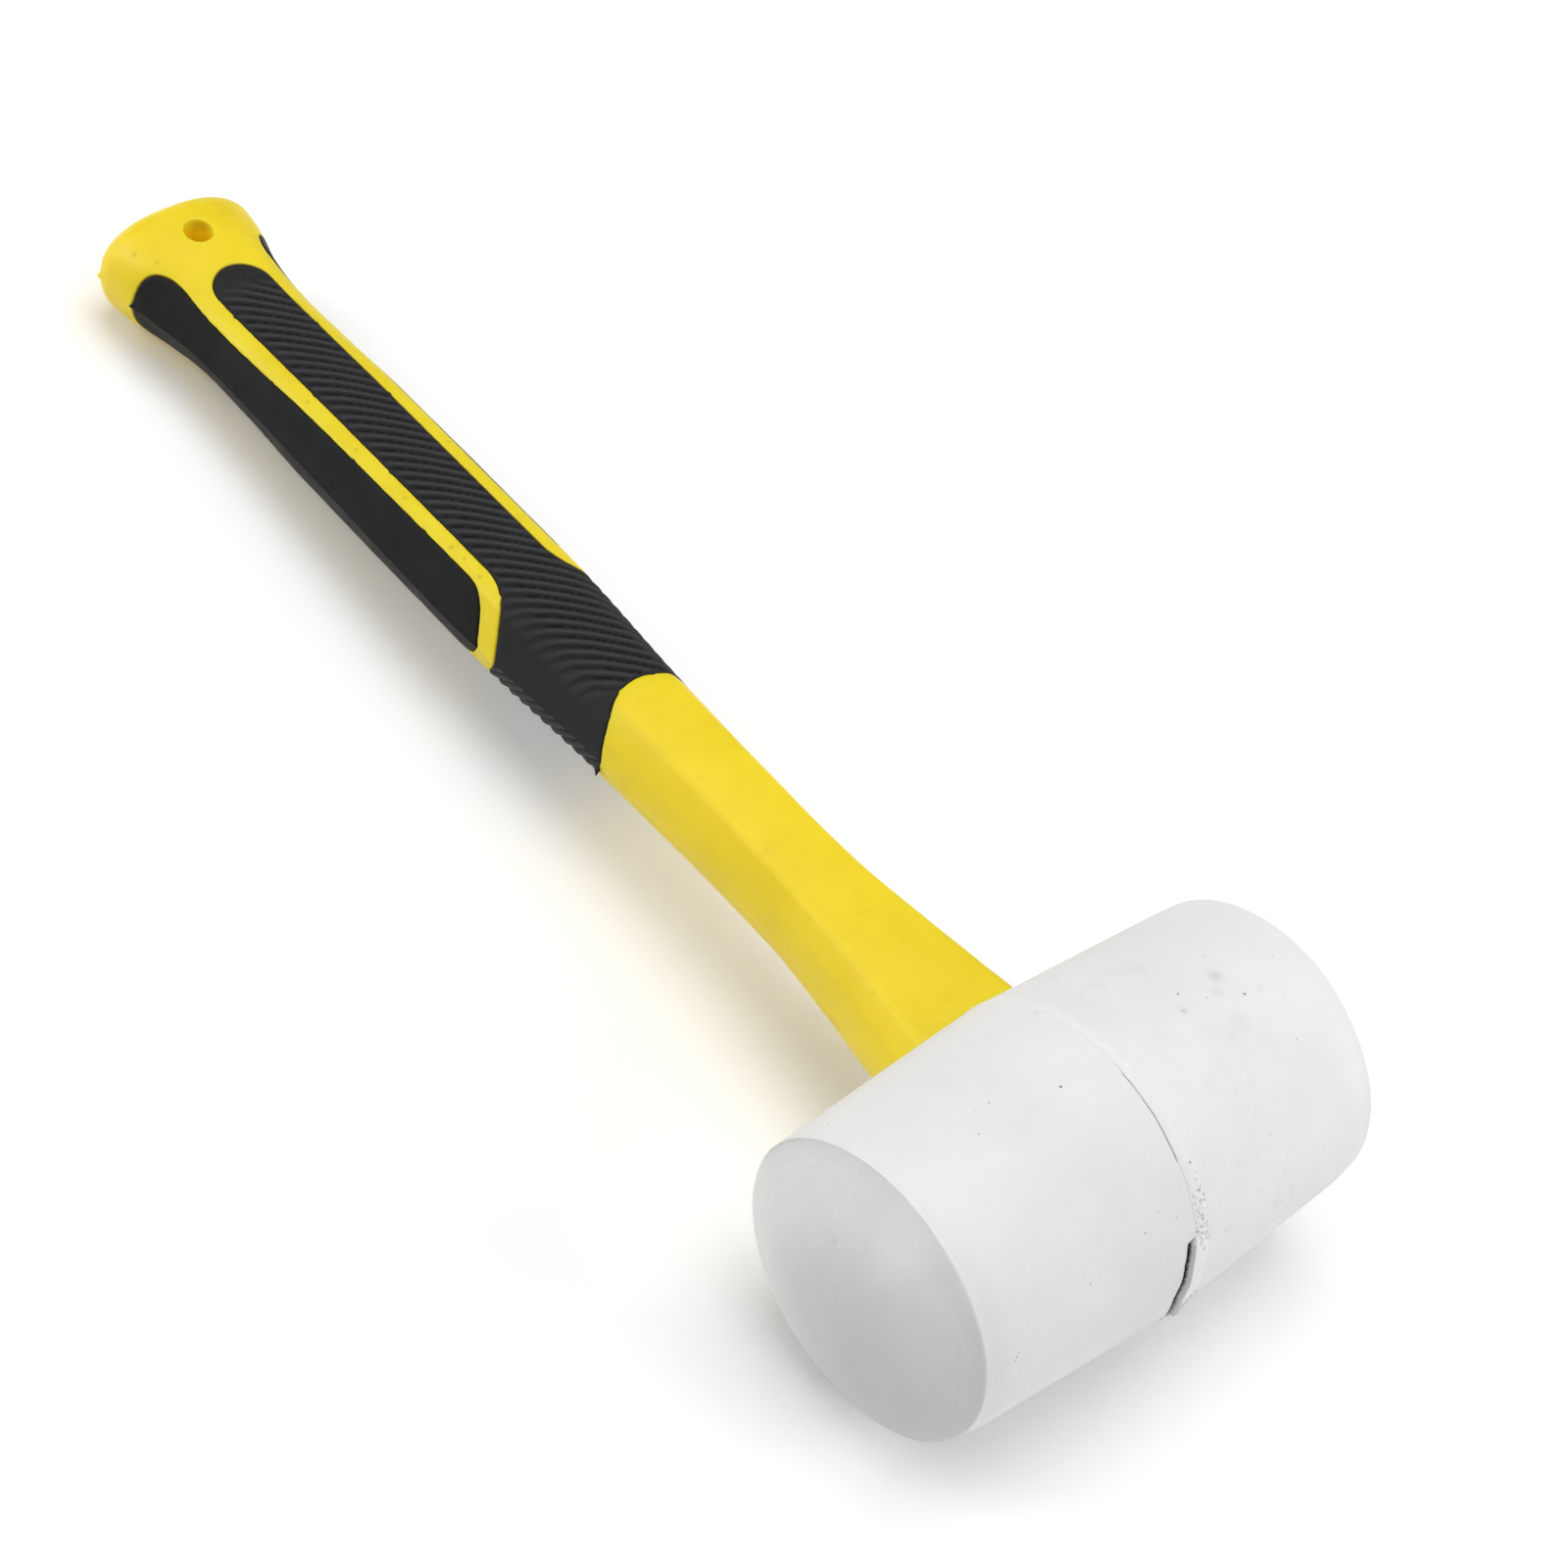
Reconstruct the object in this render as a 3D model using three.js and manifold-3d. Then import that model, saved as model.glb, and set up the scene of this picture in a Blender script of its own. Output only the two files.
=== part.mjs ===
// Rubber mallet with a fibreglass-cored plastic handle, lying on its side.
// Millimetres, +Z up. The pieces are built in the mallet's own frame: the head's axis is X, the
// handle runs along +Y from the head's centre, and the handle's two broad cheeks face +Z and -Z.
// The finished mallet is then laid down, resting on the head's middle and on one cheek of the butt.
import * as THREE from 'three';
import { mergeVertices } from 'three/addons/utils/BufferGeometryUtils.js';
import Module from 'manifold-3d';

const wasm = await Module();
wasm.setup();

// ---------------------------------------------------------------- driving dimensions

const TOTAL_LENGTH = 295; // from the head's far side to the end of the butt
const HEAD_LENGTH = 100;
const FACE_DIAMETER = 55;
const MIDDLE_DIAMETER = 60;
const FACE_ROLL = { axial: 4.2, radial: 14.4 }; // the rounded edge between barrel and flat face
const SEAM_BAND = { width: 2.6, height: 0.3, centre: -0.7 }; // moulding flash round the middle

const TENON_END = -14; // how far the handle passes the head's axis, along Y
const SOCKET_GAP = 0.35;
const CORE_DIAMETER = 9;
const CORE_END = 236;
const CORE_GAP = 0.3;

const GRIP_DEPTH = 2; // thickness of the soft grip over the hard jacket
const GRIP_GAP = 0.3; // clearance between the grip and its pocket
const BUTT_ROLL = { axial: 7, radial: 5.6 };
const HANG_HOLE = { diameter: 6, y: 252.7 };

const RIBBED_HALF_WIDTH = 6.4; // half width of the ribbed tongue on each cheek
const RIBBED_END = 242.9;
const COLLAR_FRONT = { apex: 117.2, drop: 6, atX: 11.4 }; // a shallow parabola on each cheek
const RAIL_TURN = THREE.MathUtils.degToRad(51); // the rails leave the cheek at this angle
const RAIL_TURN_RADIUS = 3;
const RIBBED_CORNER = 148.2; // where the ribbed tongue's side would meet the turned rail
const PANEL_CORNER = 149.4; // the same for the smooth panel's edge
const PANEL_EDGE = { low: 9.6, high: 10.1 };
const PANEL_END = { x: 14.6, y: 244, halfWidth: 4.5, length: 7.7 };
const OUTSIDE = 22; // any distance clear of the handle's widest point

// The handle's cross-section has twelve corners and is the same on every quarter: a crease at the
// parting line (z = 0), a shoulder, the cheek's edge, and a cheek that rises by its crown to the
// middle. Towards the butt the corners move onto an oval.
const HANDLE_SECTIONS = [
  { y: TENON_END, crease: 12.0, shoulder: [11.0, 4.2], cheek: [8.4, 7.6], crown: 0.3 },
  { y: 26, crease: 15.2, shoulder: [14.0, 5.2], cheek: [10.9, 9.3], crown: 0.3 },
  { y: 36, crease: 13.7, shoulder: [12.9, 5.0], cheek: [10.0, 9.1], crown: 0.3 },
  { y: 48, crease: 11.8, shoulder: [11.3, 4.8], cheek: [8.6, 8.9], crown: 0.3 },
  { y: 66, crease: 9.9, shoulder: [9.7, 3.6], cheek: [7.2, 8.5], crown: 0.3 },
  { y: 100, crease: 11.2, shoulder: [10.3, 4.1], cheek: [6.6, 9.2], crown: 0.3 },
  { y: 118, crease: 11.8, shoulder: [10.4, 5.2], cheek: [6.6, 9.4], crown: 0.3 },
  { y: 140, crease: 13.3, shoulder: [9.9, 8.0], cheek: [6.6, 9.6], crown: 0.3 },
  { y: 158, crease: 13.9, shoulder: [9.8, 8.5], cheek: [6.5, 9.5], crown: 0.3 },
  { y: 202, crease: 13.3, shoulder: [10.0, 8.1], cheek: [6.5, 9.2], crown: 0.3 },
  { y: 218, crease: 13.1, shoulder: [9.9, 7.3], cheek: [6.5, 8.9], crown: 0.3 },
  { y: 234, crease: 13.4, shoulder: [10.0, 7.0], cheek: [6.5, 8.7], crown: 0.3 },
  { y: 244, crease: 14.9, shoulder: [10.9, 7.8], cheek: [6.6, 9.5], crown: 0.3 },
  { y: 252, crease: 16.4, shoulder: [12.9, 7.7], cheek: [7.9, 10.3], crown: 0.7 },
  { y: 258, crease: 16.9, shoulder: [15.0, 6.4], cheek: [9.5, 10.2], crown: 1.3 },
];

const HEAD_RADIUS = MIDDLE_DIAMETER / 2;
const HANDLE_END = TOTAL_LENGTH - HEAD_RADIUS;
const RING_STEP = 6; // spacing of the handle's rings
const BUTT_RINGS = 5;

// ---------------------------------------------------------------- solids

// Turns a closed geometry into a solid that can be cut and joined.
function asSolid(geometry) {
  const plain = geometry.clone();
  plain.deleteAttribute('normal');
  plain.deleteAttribute('uv');
  const merged = mergeVertices(plain, 1e-4);
  const index = merged.index.array;
  const triangles = [];
  for (let i = 0; i < index.length; i += 3) {
    const [a, b, c] = [index[i], index[i + 1], index[i + 2]];
    if (a !== b && b !== c && c !== a) triangles.push(a, b, c);
  }
  const mesh = new wasm.Mesh({
    numProp: 3,
    vertProperties: new Float32Array(merged.attributes.position.array),
    triVerts: new Uint32Array(triangles),
  });
  return new wasm.Manifold(mesh);
}

function asGeometry(solid) {
  const mesh = solid.getMesh();
  const geometry = new THREE.BufferGeometry();
  geometry.setAttribute('position', new THREE.BufferAttribute(mesh.vertProperties, 3));
  geometry.setIndex(new THREE.BufferAttribute(mesh.triVerts, 1));
  geometry.computeVertexNormals();
  return geometry;
}

// ---------------------------------------------------------------- handle shape

// Smooth value of one measure between the listed sections, with matching slopes at each section.
function measureAt(y, pick) {
  const rows = HANDLE_SECTIONS;
  const last = rows.length - 1;
  let i = 0;
  while (i < last - 1 && y > rows[i + 1].y) i += 1;
  const slope = (j) => {
    const before = rows[Math.max(j - 1, 0)];
    const after = rows[Math.min(j + 1, last)];
    return (pick(after) - pick(before)) / (after.y - before.y);
  };
  const span = rows[i + 1].y - rows[i].y;
  const t = THREE.MathUtils.clamp((y - rows[i].y) / span, 0, 1);
  const startWeight = (1 + 2 * t) * (1 - t) ** 2;
  const endWeight = t * t * (3 - 2 * t);
  const startTangent = t * (1 - t) ** 2 * span * slope(i);
  const endTangent = t * t * (t - 1) * span * slope(i + 1);
  return startWeight * pick(rows[i]) + endWeight * pick(rows[i + 1]) + startTangent + endTangent;
}

// The ring of corners at one height, moved out (or in, when negative) by the given offset.
function handleRing(y, offset) {
  const crease = measureAt(y, (row) => row.crease);
  const cheekZ = measureAt(y, (row) => row.cheek[1]);
  const top = cheekZ + measureAt(y, (row) => row.crown);
  const rollStart = HANDLE_END - BUTT_ROLL.axial;
  const rolled = THREE.MathUtils.clamp((y - rollStart) / BUTT_ROLL.axial, 0, 1);
  const shrink = BUTT_ROLL.radial * (1 - Math.sqrt(1 - rolled * rolled)) - offset;
  const scaleX = (crease - shrink) / crease;
  const scaleZ = (top - shrink) / top;
  const quarter = [
    [crease, 0],
    [measureAt(y, (row) => row.shoulder[0]), measureAt(y, (row) => row.shoulder[1])],
    [measureAt(y, (row) => row.cheek[0]), cheekZ],
    [0, top],
  ];
  const upper = [...quarter, ...quarter.slice(0, -1).reverse().map(([x, z]) => [-x, z])];
  const lower = upper.slice(1, -1).reverse().map(([x, z]) => [x, -z]);
  return [...upper, ...lower].map(([x, z]) => new THREE.Vector3(x * scaleX, y, z * scaleZ));
}

// Heights of the rings: even steps along the handle, closer together round the butt's end.
function ringHeights(start) {
  const heights = [];
  const rollStart = HANDLE_END - BUTT_ROLL.axial;
  const steps = Math.round((rollStart - start) / RING_STEP);
  for (let i = 0; i < steps; i += 1) heights.push(start + ((rollStart - start) * i) / steps);
  for (let i = 0; i <= BUTT_RINGS; i += 1) {
    heights.push(rollStart + BUTT_ROLL.axial * Math.sin((Math.PI / 2) * (i / BUTT_RINGS)));
  }
  return heights;
}

// A closed skin through a stack of rings, with a fan of triangles over each end.
function loft(rings) {
  const count = rings[0].length;
  const points = rings.flat();
  const index = [];
  for (let ring = 0; ring < rings.length - 1; ring += 1) {
    for (let i = 0; i < count; i += 1) {
      const a = ring * count + i;
      const b = ring * count + ((i + 1) % count);
      index.push(a, a + count, b, b, a + count, b + count);
    }
  }
  const centreOf = (ring) => ring.reduce((sum, p) => sum.add(p), new THREE.Vector3()).divideScalar(count);
  const firstCentre = points.push(centreOf(rings[0])) - 1;
  const lastCentre = points.push(centreOf(rings.at(-1))) - 1;
  const lastRing = (rings.length - 1) * count;
  for (let i = 0; i < count; i += 1) {
    const next = (i + 1) % count;
    index.push(firstCentre, i, next);
    index.push(lastCentre, lastRing + next, lastRing + i);
  }
  const geometry = new THREE.BufferGeometry().setFromPoints(points);
  geometry.setIndex(index);
  return geometry;
}

function handleSolid(offset, extraAtTenon = 0) {
  const rings = ringHeights(TENON_END).map((y) => handleRing(y, offset));
  for (const point of rings[0]) point.y -= extraAtTenon;
  return asSolid(loft(rings));
}

// ---------------------------------------------------------------- outlines of the soft grip

// Extrudes an outline, drawn looking down on a cheek, through the whole handle.
function throughHandle(shape) {
  const geometry = new THREE.ExtrudeGeometry(shape, {
    depth: 2 * OUTSIDE,
    bevelEnabled: false,
    curveSegments: 8,
  });
  geometry.translate(0, 0, -OUTSIDE);
  return asSolid(geometry);
}

// Height of the turned rail edge at a distance x from the centre line, for an edge whose straight
// part runs at x = edgeX, whose corner is at cornerY, and which is moved outwards by grow.
function turnedEdge(x, edgeX, cornerY, grow) {
  return cornerY - (x - edgeX) * Math.tan(RAIL_TURN) + grow / Math.cos(RAIL_TURN);
}

function ribbedOutline(grow) {
  const half = RIBBED_HALF_WIDTH + grow;
  const edge = (x) => turnedEdge(x, RIBBED_HALF_WIDTH, RIBBED_CORNER, grow);
  const front = (x) => COLLAR_FRONT.apex - COLLAR_FRONT.drop * (x / COLLAR_FRONT.atX) ** 2 - grow;
  const turnX = half + RAIL_TURN_RADIUS * Math.cos(RAIL_TURN);
  const endCentre = RIBBED_END - RIBBED_HALF_WIDTH;
  const shape = new THREE.Shape();
  shape.moveTo(-OUTSIDE, front(12));
  for (let x = -12; x <= 12; x += 2) shape.lineTo(x, front(x));
  shape.lineTo(OUTSIDE, front(12));
  shape.lineTo(OUTSIDE, edge(14));
  shape.lineTo(14, edge(14));
  shape.lineTo(turnX, edge(turnX));
  shape.quadraticCurveTo(half, edge(half), half, edge(half) + RAIL_TURN_RADIUS);
  shape.lineTo(half, endCentre);
  shape.absarc(0, endCentre, half, 0, Math.PI, false);
  shape.lineTo(-half, edge(half) + RAIL_TURN_RADIUS);
  shape.quadraticCurveTo(-half, edge(half), -turnX, edge(turnX));
  shape.lineTo(-14, edge(14));
  shape.lineTo(-OUTSIDE, edge(14));
  return shape;
}

// side is +1 for the panel towards +X and -1 for the one towards -X.
function panelOutline(side, grow) {
  const low = PANEL_EDGE.low - grow;
  const high = PANEL_EDGE.high - grow;
  const edge = (x) => turnedEdge(x, PANEL_EDGE.low, PANEL_CORNER, -grow);
  const turnX = low + RAIL_TURN_RADIUS * Math.cos(RAIL_TURN);
  const points = [new THREE.Vector2(OUTSIDE, edge(14)), new THREE.Vector2(14, edge(14))];
  const turn = new THREE.QuadraticBezierCurve(
    new THREE.Vector2(turnX, edge(turnX)),
    new THREE.Vector2(low, edge(low)),
    new THREE.Vector2(low, edge(low) + RAIL_TURN_RADIUS),
  );
  points.push(...turn.getPoints(5));
  const end = new THREE.EllipseCurve(
    PANEL_END.x, PANEL_END.y,
    PANEL_END.x - high, PANEL_END.length + grow,
    Math.PI, 0, true,
  );
  points.push(...end.getPoints(16));
  points.push(new THREE.Vector2(OUTSIDE, PANEL_END.y));
  return new THREE.Shape(points.map((p) => new THREE.Vector2(p.x * side, p.y)));
}

// ---------------------------------------------------------------- pieces

// The barrel: double taper, a thin band of flash round the middle, rolled edges and flat faces.
function headGeometry() {
  const faceRadius = FACE_DIAMETER / 2;
  const taperEnd = HEAD_LENGTH / 2 - FACE_ROLL.axial;
  const rollSteps = 6;
  const roll = [];
  for (let i = 0; i <= rollSteps; i += 1) {
    const angle = (Math.PI / 2) * (i / rollSteps);
    const radius = faceRadius - FACE_ROLL.radial * (1 - Math.sin(angle));
    roll.push([radius, taperEnd + FACE_ROLL.axial * Math.cos(angle)]);
  }
  const barrelAt = (x) => HEAD_RADIUS - (HEAD_RADIUS - faceRadius) * (Math.abs(x) / taperEnd);
  const bandLow = SEAM_BAND.centre - SEAM_BAND.width / 2;
  const bandHigh = SEAM_BAND.centre + SEAM_BAND.width / 2;
  const bandRadius = HEAD_RADIUS + SEAM_BAND.height;
  const profile = [
    [0, -HEAD_LENGTH / 2],
    ...roll.map(([radius, x]) => [radius, -x]),
    [barrelAt(bandLow), bandLow],
    [bandRadius, bandLow + SEAM_BAND.height],
    [bandRadius, bandHigh - SEAM_BAND.height],
    [barrelAt(bandHigh), bandHigh],
    ...roll.toReversed(),
    [0, HEAD_LENGTH / 2],
  ];
  const barrel = new THREE.LatheGeometry(profile.map(([radius, x]) => new THREE.Vector2(radius, x)), 60);
  barrel.rotateZ(-Math.PI / 2);
  const socket = handleSolid(SOCKET_GAP, SOCKET_GAP);
  return asGeometry(asSolid(barrel).subtract(socket));
}

function coreRod(radius, end) {
  const rod = new THREE.CylinderGeometry(radius, radius, end - TENON_END, 24);
  rod.translate(0, (end + TENON_END) / 2, 0);
  return rod;
}

function gripPockets() {
  const shell = handleSolid(GRIP_DEPTH).subtract(handleSolid(-GRIP_DEPTH - GRIP_GAP));
  const outlines = [ribbedOutline(GRIP_GAP), panelOutline(-1, GRIP_GAP), panelOutline(1, GRIP_GAP)];
  return outlines.map((outline) => shell.intersect(throughHandle(outline)));
}

// The hard plastic moulding: tenon, neck, rails and butt, with pockets for the soft grip.
function jacketGeometry() {
  const bore = coreRod(CORE_DIAMETER / 2 + CORE_GAP, CORE_END + CORE_GAP);
  bore.translate(0, -CORE_GAP, 0);
  const hole = new THREE.CylinderGeometry(HANG_HOLE.diameter / 2, HANG_HOLE.diameter / 2, 2 * OUTSIDE, 32);
  hole.rotateX(Math.PI / 2);
  hole.translate(0, HANG_HOLE.y, 0);
  let jacket = handleSolid(0).subtract(asSolid(bore)).subtract(asSolid(hole));
  for (const pocket of gripPockets()) jacket = jacket.subtract(pocket);
  return asGeometry(jacket);
}

function gripGeometry(outline) {
  const shell = handleSolid(0).subtract(handleSolid(-GRIP_DEPTH));
  return asGeometry(shell.intersect(throughHandle(outline)));
}

// ---------------------------------------------------------------- assembly

const WHITE_RUBBER = new THREE.MeshStandardMaterial({ color: 0xe0e0e0, roughness: 0.85, metalness: 0 });
const YELLOW_PLASTIC = new THREE.MeshStandardMaterial({ color: 0xf2d532, roughness: 0.45, metalness: 0 });
const BLACK_SOFT = new THREE.MeshStandardMaterial({ color: 0x2b2b2d, roughness: 0.7, metalness: 0 });
const FIBREGLASS = new THREE.MeshStandardMaterial({ color: 0xd8cfa8, roughness: 0.5, metalness: 0 });

function piece(name, geometry, material) {
  const mesh = new THREE.Mesh(geometry, material);
  mesh.name = name;
  return mesh;
}

// The slope at which the head's middle and the butt both touch a flat floor.
function restingSlope(jacket) {
  const floorDistance = HEAD_RADIUS + SEAM_BAND.height;
  const position = jacket.geometry.attributes.position;
  let slope = Math.PI / 2;
  for (let i = 0; i < position.count; i += 1) {
    const y = position.getY(i);
    const z = position.getZ(i);
    const reach = Math.hypot(y, z);
    if (y > HEAD_LENGTH && z < 0) {
      slope = Math.min(slope, Math.asin(floorDistance / reach) - Math.atan2(-z, y));
    }
  }
  return slope;
}

const jacket = piece('handle_jacket', jacketGeometry(), YELLOW_PLASTIC);
const mallet = new THREE.Group();
mallet.add(
  piece('rubber_head', headGeometry(), WHITE_RUBBER),
  jacket,
  piece('fibreglass_core', coreRod(CORE_DIAMETER / 2, CORE_END), FIBREGLASS),
  piece('ribbed_grip', gripGeometry(ribbedOutline(0)), BLACK_SOFT),
  piece('front_grip_panel', gripGeometry(panelOutline(-1, 0)), BLACK_SOFT),
  piece('rear_grip_panel', gripGeometry(panelOutline(1, 0)), BLACK_SOFT),
);
mallet.rotation.x = -restingSlope(jacket);

// The origin is on the floor, under the middle of the mallet's box.
mallet.updateMatrixWorld(true);
const box = new THREE.Box3().setFromObject(mallet, true);
const centre = box.getCenter(new THREE.Vector3());
mallet.position.set(0, -centre.y, -box.min.z);

const part = new THREE.Group();
part.add(mallet);

export default part;
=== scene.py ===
import math

import bmesh
import bpy
import numpy as np
from mathutils import Matrix, Vector


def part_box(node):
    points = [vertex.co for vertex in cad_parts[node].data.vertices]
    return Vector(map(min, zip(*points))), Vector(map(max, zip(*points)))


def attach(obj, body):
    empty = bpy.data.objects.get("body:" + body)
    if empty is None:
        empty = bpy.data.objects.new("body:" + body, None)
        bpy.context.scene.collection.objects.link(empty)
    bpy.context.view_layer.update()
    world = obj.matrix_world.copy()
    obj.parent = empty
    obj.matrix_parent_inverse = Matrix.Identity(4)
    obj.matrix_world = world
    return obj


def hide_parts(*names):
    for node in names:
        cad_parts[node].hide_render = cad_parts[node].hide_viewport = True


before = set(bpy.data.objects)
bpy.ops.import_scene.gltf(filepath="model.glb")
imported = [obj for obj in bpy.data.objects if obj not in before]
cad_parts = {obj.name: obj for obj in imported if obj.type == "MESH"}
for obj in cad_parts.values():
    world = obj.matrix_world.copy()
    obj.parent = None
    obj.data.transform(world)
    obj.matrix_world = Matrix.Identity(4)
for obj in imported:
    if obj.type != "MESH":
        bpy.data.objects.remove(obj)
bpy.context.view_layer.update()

# A rubber mallet lying on its side. All the meshes are made in the mallet's own frame, in
# millimetres: X along the head, +Y along the handle, +Z out of the upper cheek, with the origin
# at the head's centre. place() then carries them onto the CAD model.

MM = 0.001

# ------------ the mallet's own frame


def tool_matrix():
    """Takes the mallet's own frame to the CAD frame, from the places of the head and the core."""
    head_low, head_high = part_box("rubber_head")
    radius = (head_high.z - head_low.z) / 2
    centre = Vector((0, head_low.y + radius, head_low.z + radius))
    core_low, core_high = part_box("fibreglass_core")
    along = ((core_low + core_high) / 2 - centre).normalized()
    across = Vector((1, 0, 0))
    up = across.cross(along)
    turn = Matrix((across, along, up)).transposed().to_4x4()
    return Matrix.Translation(centre) @ turn


TOOL = tool_matrix()


def place(points_mm):
    """Points in the mallet's own frame, in millimetres, as points in the CAD frame, in metres."""
    turn = np.array(TOOL.to_3x3())
    return points_mm * MM @ turn.T + np.array(TOOL.translation)


# ------------ sizes, close to the CAD model's

HEAD_LENGTH = 100.0
FACE_RADIUS = 27.5
HEAD_RADIUS = 30.0
ROLL_AXIAL, ROLL_RADIAL = 4.2, 14.4

TENON_END = -14.0
HANDLE_END = 265.0
SOCKET_DEPTH = -14.35
SOCKET_GAP = 0.35
BUTT_AXIAL, BUTT_RADIAL = 7.0, 5.6
HOLE_RADIUS, HOLE_Y = 2.9, 252.7

RIBBED_HALF_WIDTH, RIBBED_END = 6.4, 242.9
COLLAR_APEX, COLLAR_DROP, COLLAR_AT = 117.2, 6.0, 11.4
RAIL_TURN = math.radians(51)
TURN_RADIUS = 4.6
RIBBED_CORNER, PANEL_CORNER = 148.2, 149.4
PANEL_LOW, PANEL_HIGH = 9.6, 10.2
PANEL_END_X, PANEL_END_Y, PANEL_END_LENGTH = 15.2, 242.6, 8.2
PANEL_END_TURN = math.pi * 0.42  # where a panel's oval end meets the crease
OUTSIDE = 30.0  # an outline's corners this far out lie round the crease
TURN_X = 16.0  # a rail's turn runs straight until here

FACET_CROWN = 0.2
SHARP_ANGLE = math.radians(50)
# distance along the handle, crease x, shoulder x and z, cheek edge x and z, the cheek's crown
SECTIONS = np.array([
    (TENON_END, 12.0, 11.0, 4.2, 8.4, 7.6, 0.3),
    (26, 15.2, 14.0, 5.2, 10.9, 9.3, 0.3),
    (36, 13.7, 12.9, 5.0, 10.0, 9.1, 0.3),
    (48, 11.8, 11.3, 4.8, 8.6, 8.9, 0.3),
    (66, 9.9, 9.7, 3.6, 7.2, 8.5, 0.3),
    (100, 11.2, 10.3, 4.1, 6.6, 9.2, 0.3),
    (118, 11.8, 10.4, 5.2, 6.6, 9.4, 0.3),
    (140, 13.3, 9.9, 8.0, 6.6, 9.6, 0.3),
    (158, 13.9, 9.8, 8.5, 6.5, 9.5, 0.3),
    (202, 13.3, 10.0, 8.1, 6.5, 9.2, 0.3),
    (218, 13.1, 9.9, 7.3, 6.5, 8.9, 0.3),
    (234, 13.4, 10.0, 7.0, 6.5, 8.7, 0.3),
    (244, 14.9, 10.9, 7.8, 6.6, 9.5, 0.3),
    (252, 16.4, 12.9, 7.7, 7.9, 10.3, 0.7),
    (258, 16.9, 15.0, 6.4, 9.5, 10.2, 1.3),
])

# ------------ surfaces


class Surface:
    """A triangle mesh with named values at its points, which can be cut along level lines."""

    def __init__(self, points, faces, **values):
        self.points = points
        self.faces = faces
        self.values = values

    def split(self, name, level, snap=0.1):
        """Cuts every triangle that crosses the level, so that its line runs along edges."""
        field = self.values[name] - level
        a, b = np.unique(np.sort(self._edges(), axis=1), axis=0).T
        crosses = field[a] * field[b] < 0
        a, b = a[crosses], b[crosses]
        share = field[a] / (field[a] - field[b])
        near_a, near_b = share < snap, share > 1 - snap
        field[a[near_a]] = 0
        field[b[near_b]] = 0
        self.values[name] = field + level
        still = field[a] * field[b] < 0
        a, b, share = a[still], b[still], share[still]
        first_new = len(self.points)
        weight = share[:, None]
        self.points = np.vstack([self.points, self.points[a] * (1 - weight) + self.points[b] * weight])
        for key, value in self.values.items():
            w = weight if value.ndim > 1 else share
            new = value[a] * (1 - w) + value[b] * w
            self.values[key] = np.concatenate([value, new])
        self.values[name][first_new:] = level
        lookup = {(i, j): first_new + k for k, (i, j) in enumerate(zip(a.tolist(), b.tolist()))}
        side = np.sign(self.values[name] - level)
        corner = side[self.faces]
        mixed = (corner.max(1) > 0) & (corner.min(1) < 0)
        made = []
        for face in self.faces[mixed].tolist():
            made.extend(self._cut(face, side, lookup))
        kept = self.faces[~mixed]
        self.faces = np.vstack([kept, np.array(made, int).reshape(-1, 3)])

    def _edges(self):
        """Each face's three directed edges."""
        f = self.faces
        return np.vstack([f[:, [0, 1]], f[:, [1, 2]], f[:, [2, 0]]])

    @staticmethod
    def _cut(face, side, lookup):
        """The triangles that a face falls into along the level's line."""
        ring = []
        for i in range(3):
            p, q = face[i], face[(i + 1) % 3]
            ring.append(p)
            if side[p] * side[q] < 0:
                ring.append(lookup[(min(p, q), max(p, q))])
        cuts = [i for i, p in enumerate(ring) if side[p] == 0]
        first, second = cuts[0], cuts[-1]
        parts = [ring[first:second + 1], ring[second:] + ring[:first + 1]]
        return [(part[0], part[i], part[i + 1]) for part in parts for i in range(1, len(part) - 1)]

    def part(self, keep):
        """The surface made of the chosen faces only."""
        faces = self.faces[keep]
        used, index = np.unique(faces, return_inverse=True)
        values = {key: value[used] for key, value in self.values.items()}
        return Surface(self.points[used], index.reshape(-1, 3), **values)

    def face_mean(self, name):
        return self.values[name][self.faces].mean(1)

    def rim(self):
        """Directed edges that belong to one face only."""
        edges = self._edges()
        ordered = np.sort(edges, axis=1)
        _, index, count = np.unique(ordered, axis=0, return_index=True, return_counts=True)
        return edges[index[count == 1]]


def joined(*surfaces):
    """One surface from several, keeping only the values that all of them have."""
    shared = set.intersection(*[set(s.values) for s in surfaces])
    offsets = np.cumsum([0] + [len(s.points) for s in surfaces[:-1]])
    points = np.vstack([s.points for s in surfaces])
    faces = np.vstack([s.faces + o for s, o in zip(surfaces, offsets)])
    values = {key: np.concatenate([s.values[key] for s in surfaces]) for key in shared}
    return Surface(points, faces, **values)


def wall_faces(rows, index):
    """Triangles that join each row of rim points to the next row, along the rim's edges."""
    faces = []
    for upper, lower in zip(rows[:-1], rows[1:]):
        a, b = upper[index[:, 0]], upper[index[:, 1]]
        c, d = lower[index[:, 0]], lower[index[:, 1]]
        faces.extend([np.stack([b, a, c], -1), np.stack([b, c, d], -1)])
    return faces


def thickened(front, inward, steps=3):
    """A closed solid: the front, its copy moved by the inward vectors, and walls between them."""
    count = len(front.points)
    rim = front.rim()
    rim_points, index = np.unique(rim, return_inverse=True)
    index = index.reshape(-1, 2)
    points = [front.points, front.points + inward]
    faces = [front.faces, front.faces[:, ::-1] + count]
    rows = [rim_points]
    total = 2 * count
    for step in range(1, steps):
        points.append(front.points[rim_points] + inward[rim_points] * (step / steps))
        rows.append(np.arange(total, total + len(rim_points)))
        total += len(rim_points)
    rows.append(rim_points + count)
    faces.extend(wall_faces(rows, index))
    values = {key: np.concatenate([value, value] + [value[rim_points]] * (steps - 1))
              for key, value in front.values.items()}
    return Surface(np.vstack(points), np.vstack(faces), **values)


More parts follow.
